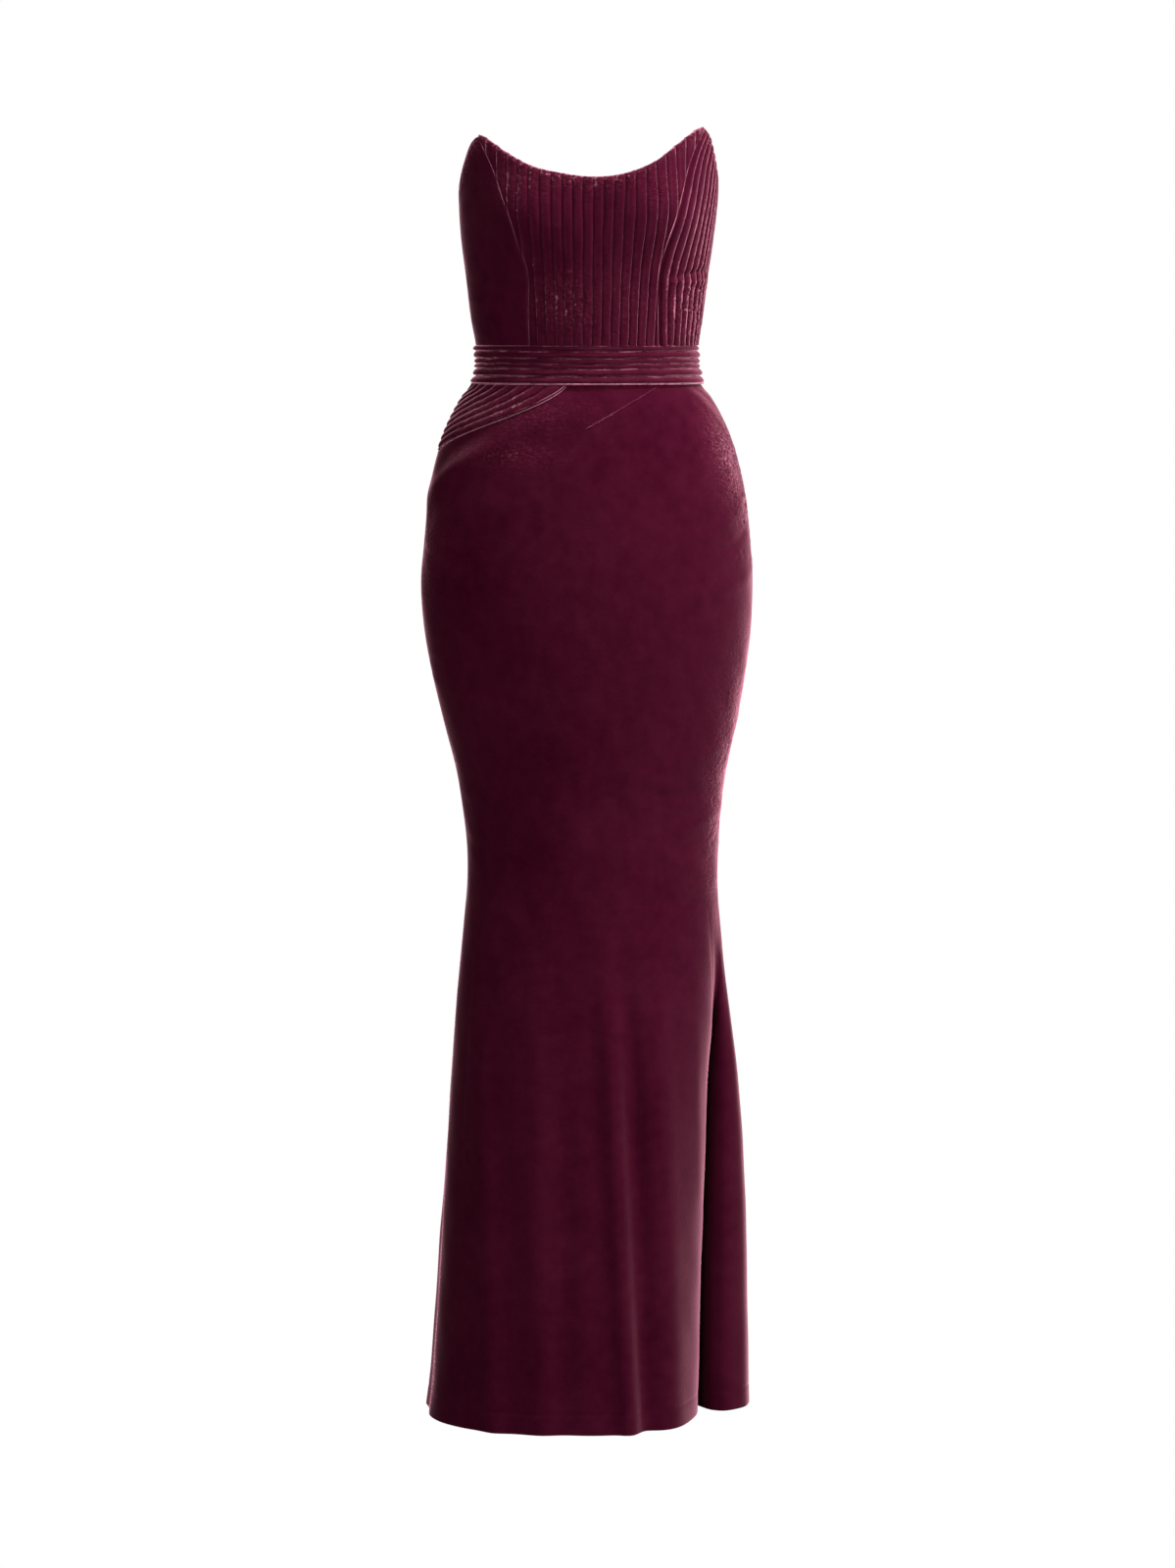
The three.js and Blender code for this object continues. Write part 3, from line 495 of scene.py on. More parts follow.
def stitch_line(count, wide=0.07):
    """A narrow dip at each whole number, where the stitching holds the cloth down."""
    return bell((count - np.round(count)) / wide)


# Zones of paler, flecked pile, part worn flat and part painted highlight where the lamps light the cloth:
# angle, height, half width, half height, amount
CRUSH_AND_HIGHLIGHT_ZONES = (
    (73, -88, 11, 56, 1.25),
    (74, -430, 12, 150, 0.5),
    (74, 150, 20, 70, 0.6),
    (68, 68, 26, 42, 0.85),
    (-20, 68, 20, 36, 0.8),
    (-42, 195, 16, 32, 0.7),
    (32, 190, 14, 30, 0.5),
    (20, 90, 22, 60, 0.3),
    (-84, -190, 14, 70, 0.3),
    (-50, -44, 42, 24, 0.8),
    (-46, -90, 24, 16, 0.85),
    (0, 4, 200, 26, 0.25),
    (140, -60, 34, 46, 0.5),
    (-140, -60, 34, 46, 0.5),
    (150, 60, 26, 40, 0.4),
    (-150, 60, 26, 40, 0.4),
    (130, -450, 34, 70, 0.4),
    (-130, -450, 34, 70, 0.4),
)

# Paler pile along the neck edge, part wear and part painted highlight where the top lamp lights it: how
# much, how far down, above which height and within which angle
NECK_WEAR_AND_HIGHLIGHT = {"amount": 0.95, "reach": 17, "above": 150, "within": 95}


def crush_and_highlight_share(points):
    """How pale and flecked the pile is at each point, from 0 to 1: part worn flat, part painted highlight.
    """
    x, y, z = points.T / MM
    angle = np.degrees(np.arctan2(x, -y))
    amount = np.zeros_like(x)
    for middle, height, wide, tall, share in CRUSH_AND_HIGHLIGHT_ZONES:
        amount = np.maximum(amount, share * bell((angle - middle) / wide) * bell((z - height) / tall))
    at_neck = NECK_WEAR_AND_HIGHLIGHT["amount"] * bell((neck(angle) - z) / NECK_WEAR_AND_HIGHLIGHT["reach"])
    at_neck = at_neck * (z > NECK_WEAR_AND_HIGHLIGHT["above"]) * (np.abs(angle) < NECK_WEAR_AND_HIGHLIGHT["within"])
    return np.maximum(amount, at_neck)


def sew(name, columns, rows, place, cloth, material):
    """One cut piece: a grid of cloth laid on the form, and given its thickness inward."""
    mesh = bmesh.new()
    mesh.loops.layers.uv.new("cloth")
    bmesh.ops.create_grid(mesh, x_segments=columns, y_segments=rows, size=0.5, calc_uvs=True)
    corners = np.array([vertex.co[:2] for vertex in mesh.verts]) + 0.5
    placed = place(corners[:, 0], corners[:, 1])
    points = placed[:, :3] * MM
    ridge = placed[:, 3] if placed.shape[1] > 3 else np.zeros(len(points))
    for vertex, point in zip(mesh.verts, points):
        vertex.co = point
    mesh.normal_update()
    facing = sum(face.normal.x * face.calc_center_median().x + face.normal.y * face.calc_center_median().y
                 for face in mesh.faces)
    if facing < 0:
        bmesh.ops.reverse_faces(mesh, faces=mesh.faces)
    piece = keep(name, mesh, points, ridge, material)
    wall = piece.modifiers.new("cloth", "SOLIDIFY")
    wall.thickness = cloth * MM
    wall.offset = -1
    rounded = piece.modifiers.new("edge", "BEVEL")
    rounded.width = EDGE_ROUNDING["width"] * MM
    rounded.segments = EDGE_ROUNDING["segments"]
    rounded.limit_method = "ANGLE"
    rounded.angle_limit = math.radians(EDGE_ROUNDING["sharper_than"])
    return piece


def keep(name, mesh, points, ridge, material):
    """Make a finished mesh a piece of the gown, with its material, its zones of paler pile (part wear,
    part painted highlight) and its painted ridge highlights.
    """
    data = bpy.data.meshes.new(name)
    mesh.to_mesh(data)
    mesh.free()
    data.shade_smooth()
    crush_and_highlight = data.attributes.new("crush_and_highlight", "FLOAT", "POINT")
    crush_and_highlight.data.foreach_set("value", crush_and_highlight_share(points))
    # The ridge attribute is painted highlight: pale bands along tuck ridges, seam edges and welts.
    worn = data.attributes.new("ridge", "FLOAT", "POINT")
    worn.data.foreach_set("value", ridge)
    data.materials.append(material)
    piece = bpy.data.objects.new(name, data)
    bpy.context.scene.collection.objects.link(piece)
    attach(piece, "gown")
    return piece


def welt(name, points, radius, ridge, material, sides=8):
    """A thin round ridge of cloth along a row of points, fading out at both ends."""
    forward = np.gradient(points, axis=0)
    forward = forward / np.linalg.norm(forward, axis=1, keepdims=True)
    outward = points * (1, 1, 0)
    across = np.cross(forward, outward)
    across = across / np.linalg.norm(across, axis=1, keepdims=True)
    outward = np.cross(across, forward)
    from_end = np.minimum(np.arange(len(points)), np.arange(len(points))[::-1])
    size = radius * np.sqrt(np.clip((from_end + 0.3) / 3, 0, 1))
    mesh = bmesh.new()
    rings, places = [], []
    for centre, side, out, wide in zip(points, across, outward, size):
        ring = []
        for step in range(sides):
            turn = math.tau * step / sides
            place = (centre + wide * (math.cos(turn) * out + math.sin(turn) * side)) * MM
            ring.append(mesh.verts.new(place))
            places.append(place)
        rings.append(ring)
    for first, second in zip(rings, rings[1:]):
        for step in range(sides):
            after = (step + 1) % sides
            mesh.faces.new((first[step], first[after], second[after], second[step]))
    mesh.faces.new(rings[0])
    mesh.faces.new(rings[-1])
    bmesh.ops.recalc_face_normals(mesh, faces=mesh.faces)
    # The ridge value pales the whole welt: painted highlight.
    return keep(name, mesh, np.array(places), np.full(len(places), ridge), material)


def neck_roll(place, columns, inward=0.9, down=0.5):
    """The middle of a turned neck edge: the top of a cut piece, moved into its thickness."""
    u = np.linspace(0.002, 0.998, columns)
    top = place(u, np.ones_like(u))[:, :3]
    along = np.gradient(top, axis=0)
    out = np.stack([along[:, 1], -along[:, 0]], axis=1)
    out = out / np.linalg.norm(out, axis=1, keepdims=True)
    out = out * np.sign((out * top[:, :2]).sum(axis=1, keepdims=True))
    top[:, :2] -= inward * out
    top[:, 2] -= down
    return top


def channel_pitch(z):
    return mix(CHANNEL["pitch_waist"], CHANNEL["pitch_top"], (z - 28) / 190)


def bodice_rows(v):
    """Heights up the bodice, closer together where the cloth turns in at the neck edge."""
    return np.interp(v, (0, 0.88, 1), (0, 0.94, 1))


def centre_front_place(u, v):
    """Centre front of the bodice: upright channels, cut off by the princess seams."""
    v = bodice_rows(v)
    foot = BAND_TOP + SEAM_GAP
    z = mix(foot, neck(mix(*CENTRE_TIPS, u)), v)
    z_right, z_left = (mix(foot, neck(tip), v) for tip in CENTRE_TIPS)
    start = seam_angle("right", z_right, 1)
    end = seam_angle("left", z_left, -1)
    angle = mix(start, end, u)
    half = half_width(angle, z)
    count = CHANNEL["centre"] + half * np.sin(np.radians(angle)) / channel_pitch(z)
    count = count + 0.05 * ripple(angle, z, 2.0, 1.3)
    span = (end - start) * ARC * 0.9
    from_seam = np.minimum(u, 1 - u) * span
    fade = smooth(from_seam / 3.5) * smooth((1 - v) * 60 + 0.72)
    rise = (CHANNEL["depth"] * tuck_rise(count, 2.6) - 0.6 * stitch_line(count)) * fade
    rise = rise + creases(CHANNEL_CREASES, angle, z) * fade
    rise = rise + edge_dip(from_seam, 0.5) - 1.1 * bell((1 - v) * NECK_TURN)
    # Painted highlight: pale bands along the channels' ridges and a pale line beside each princess seam,
    # carried to the colour as the ridge attribute.
    ridge = 0.4 * painted_ridge_highlight(count, 0.2, 0.16, ripple(angle, z, 3.0, 0.7)) * fade
    return np.column_stack([form_point(angle, z, rise), ridge + 0.35 * bell(from_seam / 1.2)])


def side_front_place(side, ribbed):
    """A side front, from its princess seam to the side seam, under the neck edge."""
    sign = -1 if side == "right" else 1
    tip_angle = SIDE_TIPS[side]
    foot = BAND_TOP + SEAM_GAP
    tip = float(neck(tip_angle)) - 1

    def place(u, v):
        v = bodice_rows(v)
        seam_z = mix(foot, tip, v)
        start = seam_angle(side, seam_z, sign)
        end = sign * 90 - sign * angle_of(SEAM_GAP / 2, np.full_like(v, sign * 90.0), seam_z)
        top_angle = mix(tip_angle, sign * 90, u)
        top = np.minimum(neck(top_angle), mix(tip, neck(sign * 90), u) + 40 * u * (1 - u))
        angle, z = mix(start, end, u), mix(foot, top, v)
        wide = np.abs(end - start) * ARC
        from_seam = np.minimum(u, 1 - u) * wide
        edge = smooth((1 - v) * 50 + 0.3)
        if ribbed:
            count = u * SIDE_RIBS["count"] + 0.06 * ripple(angle, z, 2.0, 4.1)
            roll = SIDE_RIBS["depth"] * tuck_rise(count, 2.5) - 0.5 * stitch_line(count)
            rise = roll * smooth(from_seam / 3) * edge
            rise = rise + creases(RIB_CREASES, angle, z) * smooth(from_seam / 4)
        else:
            rise = creases(BODICE_CREASES, angle, z) * smooth(from_seam / 5)
        rise = rise + edge_dip(from_seam, 0.5) - 1.0 * bell((1 - v) * NECK_TURN)
        # Painted highlight: a pale line beside the princess seam and, on the ribbed side, pale bands along
        # the ribs' ridges.
        ridge = 0.3 * bell(u * wide / 1.2)
        if ribbed:
            ridge = ridge + 0.75 * painted_ridge_highlight(count, 0.72, 0.15, ripple(angle, z, 3.0, 1.7))
        return np.column_stack([form_point(angle, z, rise), ridge])

    return place


def bodice_back_place(side):
    sign = -1 if side == "right" else 1
    foot = BAND_TOP + SEAM_GAP

    def place(u, v):
        z = mix(foot, neck(sign * mix(90, 180, u)), v)
        start = 90 + angle_of(SEAM_GAP / 2, np.full_like(z, 90.0 * sign), z)
        end = 180 - angle_of(SEAM_GAP / 2, np.full_like(z, 180.0 * sign), z)
        angle = sign * mix(start, end, u)
        from_seam = np.minimum(u, 1 - u) * 90 * ARC
        rise = creases(BODICE_BACK_CREASES, angle, z) * smooth(from_seam / 6) * smooth((1 - v) * 18)
        rise = rise + 0.5 * ripple(angle, z, 1.0, 2.2) * smooth(from_seam / 12)
        rise = rise + edge_dip(from_seam) - 0.5 * bell((1 - v) * 50)
        return form_point(angle, z, rise)

    return place


def band_place(from_angle, to_angle):
    """A stretch of waistband: six level tucks that wander a little."""
    share = np.concatenate([[0], np.cumsum(BAND_TUCKS["tall"])]) / BAND_TUCKS["tall"].sum()
    small = scattered(
        61, 70, (from_angle, to_angle), (-16, 21), (-16, 16), (6, 22), (0.9, 1.7), (-0.6, 0.5), 0.6)

    def place(u, v):
        z = mix(BAND_BOTTOM, BAND_TOP, v)
        start = from_angle + angle_of(SEAM_GAP / 2, np.full_like(z, from_angle), z)
        end = to_angle - angle_of(SEAM_GAP / 2, np.full_like(z, to_angle), z)
        angle = mix(start, end, u)
        down = 1 - v
        wander = 0.018 * ripple(angle, z * 0, 1.4, 5.0) * np.sin(math.pi * down)
        down = np.clip(down + wander, 0, 0.99999)
        tuck = np.clip(np.searchsorted(share, down, side="right") - 1, 0, len(share) - 2)
        count = tuck + (down - share[tuck]) / (share[tuck + 1] - share[tuck])
        uneven = 1 + 0.16 * ripple(angle, tuck * 40.0, 1.2, 7.0)
        from_end = np.minimum(u, 1 - u) * (to_angle - from_angle) * ARC
        out = (BAND_TUCKS["out"][tuck] + 0.7) * uneven
        roll = out * tuck_rise(count, 2.2, 1.7) - 0.6 * stitch_line(count)
        rise = roll * mix(0.75, 1, smooth(from_end / 4))
        rise = rise + creases(small, angle, z)
        # Painted highlight: pale bands near the top of each tuck, where the light from above catches it.
        ridge = 1.1 * painted_ridge_highlight(count, 0.12, 0.09, ripple(angle, tuck * 60.0, 2.0, 3.3))
        return np.column_stack([form_point(angle, z, rise), ridge])

    return place


SKIRT_TOP = BAND_BOTTOM - SEAM_GAP


def hip_seam(angle):
    t = np.clip((HIP["start"] - angle) / (HIP["start"] + 90), 0, 1)
    return SKIRT_TOP - HIP["drop"] * t ** HIP["bend"]


def hip_place(u, v):
    """Slanting tucks: each is the hip seam drawn in towards the corner of waist and side."""
    first, last = 0.004, 0.99
    inset = mix(first, last, v)
    t = u ** 1.25
    size = 1 - inset
    corner = -90 + 0.1
    angle = corner + (HIP["start"] - corner) * size * (1 - t)
    z = SKIRT_TOP - HIP["drop"] * size * t ** HIP["bend"]
    piping = 0.03
    body = np.clip((v - piping) / (1 - piping), 0, 1)
    count = body * (HIP["tucks"] - 0.01) + 0.06 * ripple(angle, z, 2.0, 3.0)
    roll = tuck_rise(count, 2.3, 0.62)
    cord = np.sqrt(np.clip(1 - (2 * v / piping - 1) ** 2, 0, 1)) * (v < piping)
    ends = np.minimum(u * 18, (1 - u) * 14)
    rise = HIP["depth"] * roll * (v >= piping) * smooth(ends + 0.3) * mix(1, 0.75, t) + 1.3 * cord
    rise = rise * smooth((1 - v) * 30)
    rise = rise + creases(HIP_CREASES, angle, z)
    # Painted highlight: pale bands along one edge of each tuck, where the light catches it.
    ridge = 0.62 * painted_ridge_highlight(count, 0.76, 0.13, ripple(angle, z, 2.6, 2.3)) * (v >= piping)
    return np.column_stack([form_point(angle, z, rise), ridge])


def skirt_rows(v):
    """Heights up the skirt: close rows at the hem's turning and over the hips and thighs."""
    return np.interp(v, (0, 0.05, 0.2, 1), (0, 0.025, 0.45, 1))


def skirt_front_place(u, v):
    """Skirt front, with more columns where the deep fold runs."""
    narrow = 0.66
    body, fold = np.clip(u / narrow, 0, 1), np.clip((u - narrow) / (1 - narrow), 0, 1)
    plain = mix(-90, FOLD["start"], body)
    angle = plain + (90 - FOLD["start"]) * fold
    crown = hip_seam(angle) - 0.12
    z = mix(HEM, crown, skirt_rows(v))
    angle = angle + (0.5 - u) * 2 * angle_of(SEAM_GAP / 2, angle, z)
    from_side = np.minimum(angle + 90, 90 - angle) * ARC
    upper = smooth((z + 620) / 60)
    rise = creases(SKIRT_CREASES, angle, z) * smooth(from_side / 5)
    rise = rise + edge_dip(np.where(angle < 0, angle + 90, 90 - angle) * ARC, 0.6) * upper
    rise = rise + edge_dip(crown - z, 0.7, 1.8) - 0.25 * bell((z - HEM - 22) / 2)
    rise = rise + 0.35 * ripple(angle, z, 1.6, 0.4) * smooth((crown - z) / 30)
    return form_point(angle, z, rise)


def skirt_back_place(side):
    sign = -1 if side == "right" else 1

    def place(u, v):
        z = mix(HEM, SKIRT_TOP, skirt_rows(v))
        angle = sign * mix(90, 180, u)
        gap = mix(SEAM_GAP, CENTRE_BACK_GAP, u)
        angle = angle + sign * (0.5 - u) * 2 * angle_of(gap / 2, angle, z)
        from_seam = np.minimum(u, 1 - u) * 90 * ARC
        rise = creases(BACK_CREASES, angle, z) * smooth(from_seam / 8) * smooth((SKIRT_TOP - z) / 10)
        rise = rise + edge_dip(from_seam, 0.6) + edge_dip(SKIRT_TOP - z, 0.6, 1.8)
        inside = smooth(from_seam / 14) * smooth((SKIRT_TOP - z) / 40)
        rise = rise + 0.5 * ripple(angle, z, 1.2, 1.9) * inside
        rise = rise - 0.25 * bell((z - HEM - 22) / 2)
        return form_point(angle, z, rise)

    return place


def socket(tree, kind, name, where, default=None):
    made = tree.interface.new_socket(name=name, in_out=where, socket_type=kind)
    if default is not None:
        made.default_value = default
    return made


def nap_group():
    """Velvet nap: a mask for colour, mixing random nap tone with paler, flecked pile that is part wear and
    part painted highlight, and painted highlights along the ridges; and its height.
    """
    tree = bpy.data.node_groups.new("velvet nap", "ShaderNodeTree")
    socket(tree, "NodeSocketVector", "Place", "INPUT")
    socket(tree, "NodeSocketFloat", "Crush and highlight", "INPUT", 0.5)
    socket(tree, "NodeSocketFloat", "Ridge", "INPUT", 0.0)
    socket(tree, "NodeSocketFloat", "Tone and highlight", "OUTPUT")
    socket(tree, "NodeSocketFloat", "Height", "OUTPUT")
    start = tree.nodes.new("NodeGroupInput")
    end = tree.nodes.new("NodeGroupOutput")
    place, crush_and_highlight = start.outputs["Place"], start.outputs["Crush and highlight"]
    drift = noise_node(tree, place, 9, 4, 0.62)
    brush = noise_node(tree, place, 70, 3, 0.6)
    pile = noise_node(tree, place, 300, 4, 0.65)
    flat = tree.nodes.new("ShaderNodeMapping")
    flat.inputs["Scale"].default_value = (130, 130, 420)
    tree.links.new(place, flat.inputs["Vector"])
    crinkle = noise_node(tree, flat.outputs["Vector"], 1, 3, 0.6)
    # Pale flecks in the zones of paler pile: part the grain of worn velvet, part painted highlight.
    fleck = maths(tree, "MULTIPLY", maths(tree, "SUBTRACT", pile.outputs["Fac"], 0.47), crush_and_highlight)
    slow = maths(tree, "MULTIPLY", drift.outputs["Fac"], 0.3)
    soft = maths(tree, "MULTIPLY_ADD", brush.outputs["Fac"], 0.25, slow)
    pale = maths(tree, "MULTIPLY_ADD", crush_and_highlight, 0.15, soft)
    tone_and_highlight = maths(tree, "MULTIPLY_ADD", maths(tree, "MAXIMUM", fleck, 0), 2.7, pale)
    raised = maths(tree, "ADD", pile.outputs["Fac"], 0.25)
    # Painted highlight along the ridges, lifting the colour mask.
    ridge_highlight_lift = maths(tree, "MULTIPLY", start.outputs["Ridge"], raised)
    tree.links.new(maths(tree, "ADD", tone_and_highlight, ridge_highlight_lift), end.inputs["Tone and highlight"])
    ruffled = maths(tree, "MULTIPLY_ADD", crush_and_highlight, 2.6, 0.4)
    tips = maths(tree, "MULTIPLY", pile.outputs["Fac"], ruffled)
    fine = maths(tree, "MULTIPLY_ADD", brush.outputs["Fac"], 0.3, tips)
    worn = maths(tree, "MULTIPLY", crinkle.outputs["Fac"], crush_and_highlight)
    rough = maths(tree, "MULTIPLY", worn, 6)
    tree.links.new(maths(tree, "ADD", fine, rough), end.inputs["Height"])
    return tree


def noise_node(tree, place, scale, detail, roughness):
    node = tree.nodes.new("ShaderNodeTexNoise")
    node.inputs["Scale"].default_value = scale
    node.inputs["Detail"].default_value = detail
    node.inputs["Roughness"].default_value = roughness
    tree.links.new(place, node.inputs["Vector"])
    return node


def maths(tree, operation, first, second, third=None):
    node = tree.nodes.new("ShaderNodeMath")
    node.operation = operation
    for value, target in zip((first, second, third), node.inputs):
        if value is None:
            continue
        if isinstance(value, (int, float)):
            target.default_value = value
        else:
            tree.links.new(value, target)
    return node.outputs[0]


def velvet(name, dark, light, sheen, sheen_tint):
    """Wine velvet: deep where the pile faces you, pale and soft where it turns away. Its base colour also
    carries painted highlight, in the zones of paler pile and along the ridges.
    """
    material = bpy.data.materials.new(name)
    material.use_nodes = True
    tree = material.node_tree
    shader = tree.nodes["Principled BSDF"]
    place = tree.nodes.new("ShaderNodeTexCoord")
    worn = tree.nodes.new("ShaderNodeAttribute")
    worn.attribute_name = "crush_and_highlight"
    nap = tree.nodes.new("ShaderNodeGroup")
    nap.node_tree = NAP
    tree.links.new(worn.outputs["Fac"], nap.inputs["Crush and highlight"])
    ridge = tree.nodes.new("ShaderNodeAttribute")
    ridge.attribute_name = "ridge"
    tree.links.new(ridge.outputs["Fac"], nap.inputs["Ridge"])
    tree.links.new(place.outputs["Object"], nap.inputs["Place"])
    ramp = tree.nodes.new("ShaderNodeValToRGB")
    ramp.color_ramp.elements[0].position = 0.1
    ramp.color_ramp.elements[0].color = (*dark, 1)
    ramp.color_ramp.elements[1].position = 0.75
    ramp.color_ramp.elements[1].color = (*light, 1)
    # The top of the ramp is a pale pink grey that the strongest flecks and ridge marks reach: a painted
    # highlight colour.
    tips = ramp.color_ramp.elements.new(1.0)
    tips.color = (0.24, 0.09, 0.125, 1)
    tree.links.new(nap.outputs["Tone and highlight"], ramp.inputs["Fac"])
    tree.links.new(ramp.outputs["Color"], shader.inputs["Base Color"])
    bump = tree.nodes.new("ShaderNodeBump")
    bump.inputs["Strength"].default_value = 0.6
    bump.inputs["Distance"].default_value = 0.0008
    tree.links.new(nap.outputs["Height"], bump.inputs["Height"])
    tree.links.new(bump.outputs["Normal"], shader.inputs["Normal"])
    shader.inputs["Roughness"].default_value = 0.7
    shader.inputs["Specular IOR Level"].default_value = 0
    shader.inputs["Sheen Weight"].default_value = sheen
    shader.inputs["Sheen Roughness"].default_value = 0.3
    shader.inputs["Sheen Tint"].default_value = (*sheen_tint, 1)
    return material


def woven(name, dark, light):
    """Plain woven tape: fine diagonal ribs with a slightly uneven dye."""
    material = bpy.data.materials.new(name)
    material.use_nodes = True
    tree = material.node_tree
    shader = tree.nodes["Principled BSDF"]
    place = tree.nodes.new("ShaderNodeTexCoord")
    ribs = tree.nodes.new("ShaderNodeTexWave")
    ribs.bands_direction = "DIAGONAL"
    ribs.inputs["Scale"].default_value = 260
    ribs.inputs["Distortion"].default_value = 0.6
    tree.links.new(place.outputs["Object"], ribs.inputs["Vector"])
    dye = noise_node(tree, place.outputs["Object"], 300, 3, 0.6)
    uneven = maths(tree, "MULTIPLY", dye.outputs["Fac"], 0.5)
    tone = maths(tree, "MULTIPLY_ADD", ribs.outputs["Fac"], 0.6, uneven)
    ramp = tree.nodes.new("ShaderNodeValToRGB")
    ramp.color_ramp.elements[0].color = (*dark, 1)
    ramp.color_ramp.elements[1].color = (*light, 1)
    tree.links.new(tone, ramp.inputs["Fac"])
    tree.links.new(ramp.outputs["Color"], shader.inputs["Base Color"])
    bump = tree.nodes.new("ShaderNodeBump")
    bump.inputs["Strength"].default_value = 0.5
    bump.inputs["Distance"].default_value = 0.0003
    tree.links.new(ribs.outputs["Fac"], bump.inputs["Height"])
    tree.links.new(bump.outputs["Normal"], shader.inputs["Normal"])
    shader.inputs["Roughness"].default_value = 0.85
    shader.inputs["Specular IOR Level"].default_value = 0.2
    return material


def enamel(name, colour):
    """Metal enamelled to match the velvet, with a little wear."""
    material = bpy.data.materials.new(name)
    material.use_nodes = True
    tree = material.node_tree
    shader = tree.nodes["Principled BSDF"]
    place = tree.nodes.new("ShaderNodeTexCoord")
    wear = noise_node(tree, place.outputs["Object"], 400, 3, 0.6)
    ramp = tree.nodes.new("ShaderNodeValToRGB")
    ramp.color_ramp.elements[0].position = 0.35
    ramp.color_ramp.elements[0].color = (*colour, 1)
    ramp.color_ramp.elements[1].position = 0.9
    ramp.color_ramp.elements[1].color = (*[value * 1.8 + 0.02 for value in colour], 1)
    tree.links.new(wear.outputs["Fac"], ramp.inputs["Fac"])
    tree.links.new(ramp.outputs["Color"], shader.inputs["Base Color"])
    shader.inputs["Metallic"].default_value = 0.2
    shader.inputs["Roughness"].default_value = 0.4
    return material


# The photo's view: degrees round the body and down, distance and height in metres
CAMERA = {"azimuth": -5, "down": 5.67, "away": 5.0, "height": 0.05, "sensor": 36, "lens": 106.9}


def make_camera():
    """The photo's view: a little to the wearer's right, level with the waist, looking down."""
    data = bpy.data.cameras.new("camera")
    data.sensor_width = CAMERA["sensor"]
    data.lens = CAMERA["lens"]
    camera = bpy.data.objects.new("camera", data)
    azimuth, down, away = math.radians(CAMERA["azimuth"]), math.radians(CAMERA["down"]), CAMERA["away"]
    camera.location = (away * math.sin(azimuth), -away * math.cos(azimuth), CAMERA["height"])
    level = math.cos(down)
    look = Vector((-math.sin(azimuth) * level, math.cos(azimuth) * level, -math.sin(down)))
    camera.rotation_euler = look.to_track_quat("-Z", "Y").to_euler()
    bpy.context.scene.collection.objects.link(camera)
    bpy.context.scene.camera = camera


def area_light(name, place, target, size, power, colour):
    data = bpy.data.lights.new(name, "AREA")
    data.shape = "RECTANGLE"
    data.size, data.size_y = size
    data.energy = power
    data.color = colour
    lamp = bpy.data.objects.new(name, data)
    lamp.location = place
    lamp.rotation_euler = (Vector(target) - Vector(place)).to_track_quat("-Z", "Y").to_euler()
    bpy.context.scene.collection.objects.link(lamp)


def make_world():
    """White studio: bright to the right, with a dark flag at the left."""
    world = bpy.data.worlds.new("studio")
    world.use_nodes = True
    bpy.context.scene.world = world
    tree = world.node_tree
    sky = tree.nodes["Background"]
    place = tree.nodes.new("ShaderNodeTexCoord")
    split = tree.nodes.new("ShaderNodeSeparateXYZ")
    tree.links.new(place.outputs["Generated"], split.inputs["Vector"])
    ramp = tree.nodes.new("ShaderNodeValToRGB")
    ramp.color_ramp.interpolation = "EASE"
    ramp.color_ramp.elements[0].position = 0.4
    ramp.color_ramp.elements[0].color = (0.03, 0.03, 0.03, 1)
    ramp.color_ramp.elements[1].position = 0.9
    ramp.color_ramp.elements[1].color = (0.5, 0.5, 0.5, 1)
    tree.links.new(maths(tree, "MULTIPLY_ADD", split.outputs["X"], 0.5, 0.5), ramp.inputs["Fac"])
    tree.links.new(ramp.outputs["Color"], sky.inputs["Color"])
    paper = tree.nodes.new("ShaderNodeBackground")
    paper.inputs["Color"].default_value = (1, 1, 1, 1)
    path = tree.nodes.new("ShaderNodeLightPath")
    seen = tree.nodes.new("ShaderNodeMixShader")
    tree.links.new(path.outputs["Is Camera Ray"], seen.inputs["Fac"])
    tree.links.new(sky.outputs["Background"], seen.inputs[1])
    tree.links.new(paper.outputs["Background"], seen.inputs[2])
    tree.links.new(seen.outputs["Shader"], tree.nodes["World Output"].inputs["Surface"])


def make_floor():
    """A pale floor that fades into the white paper behind it."""
    mesh = bmesh.new()
    bmesh.ops.create_circle(mesh, cap_ends=True, segments=64, radius=3)
    bmesh.ops.translate(mesh, verts=mesh.verts, vec=(0, 0, (HEM - 1.5) * MM))
    data = bpy.data.meshes.new("floor")
    mesh.to_mesh(data)
    mesh.free()
    floor = bpy.data.objects.new("floor", data)
    paint = bpy.data.materials.new("pale floor")
    paint.use_nodes = True
    tree = paint.node_tree
    shader = tree.nodes["Principled BSDF"]
    shader.inputs["Base Color"].default_value = (0.8, 0.8, 0.8, 1)
    shader.inputs["Roughness"].default_value = 0.9
    shader.inputs["Specular IOR Level"].default_value = 0.1
    place = tree.nodes.new("ShaderNodeTexCoord")
    away = tree.nodes.new("ShaderNodeVectorMath")
    away.operation = "LENGTH"
    tree.links.new(place.outputs["Object"], away.inputs[0])
    fade = tree.nodes.new("ShaderNodeMapRange")
    fade.interpolation_type = "SMOOTHSTEP"
    fade.inputs["From Min"].default_value = 0.2
    fade.inputs["From Max"].default_value = 0.95
    fade.inputs["To Min"].default_value = 1
    fade.inputs["To Max"].default_value = 0
    tree.links.new(away.outputs["Value"], fade.inputs["Value"])
    tree.links.new(fade.outputs["Result"], shader.inputs["Alpha"])
    data.materials.append(paint)
    bpy.context.scene.collection.objects.link(floor)


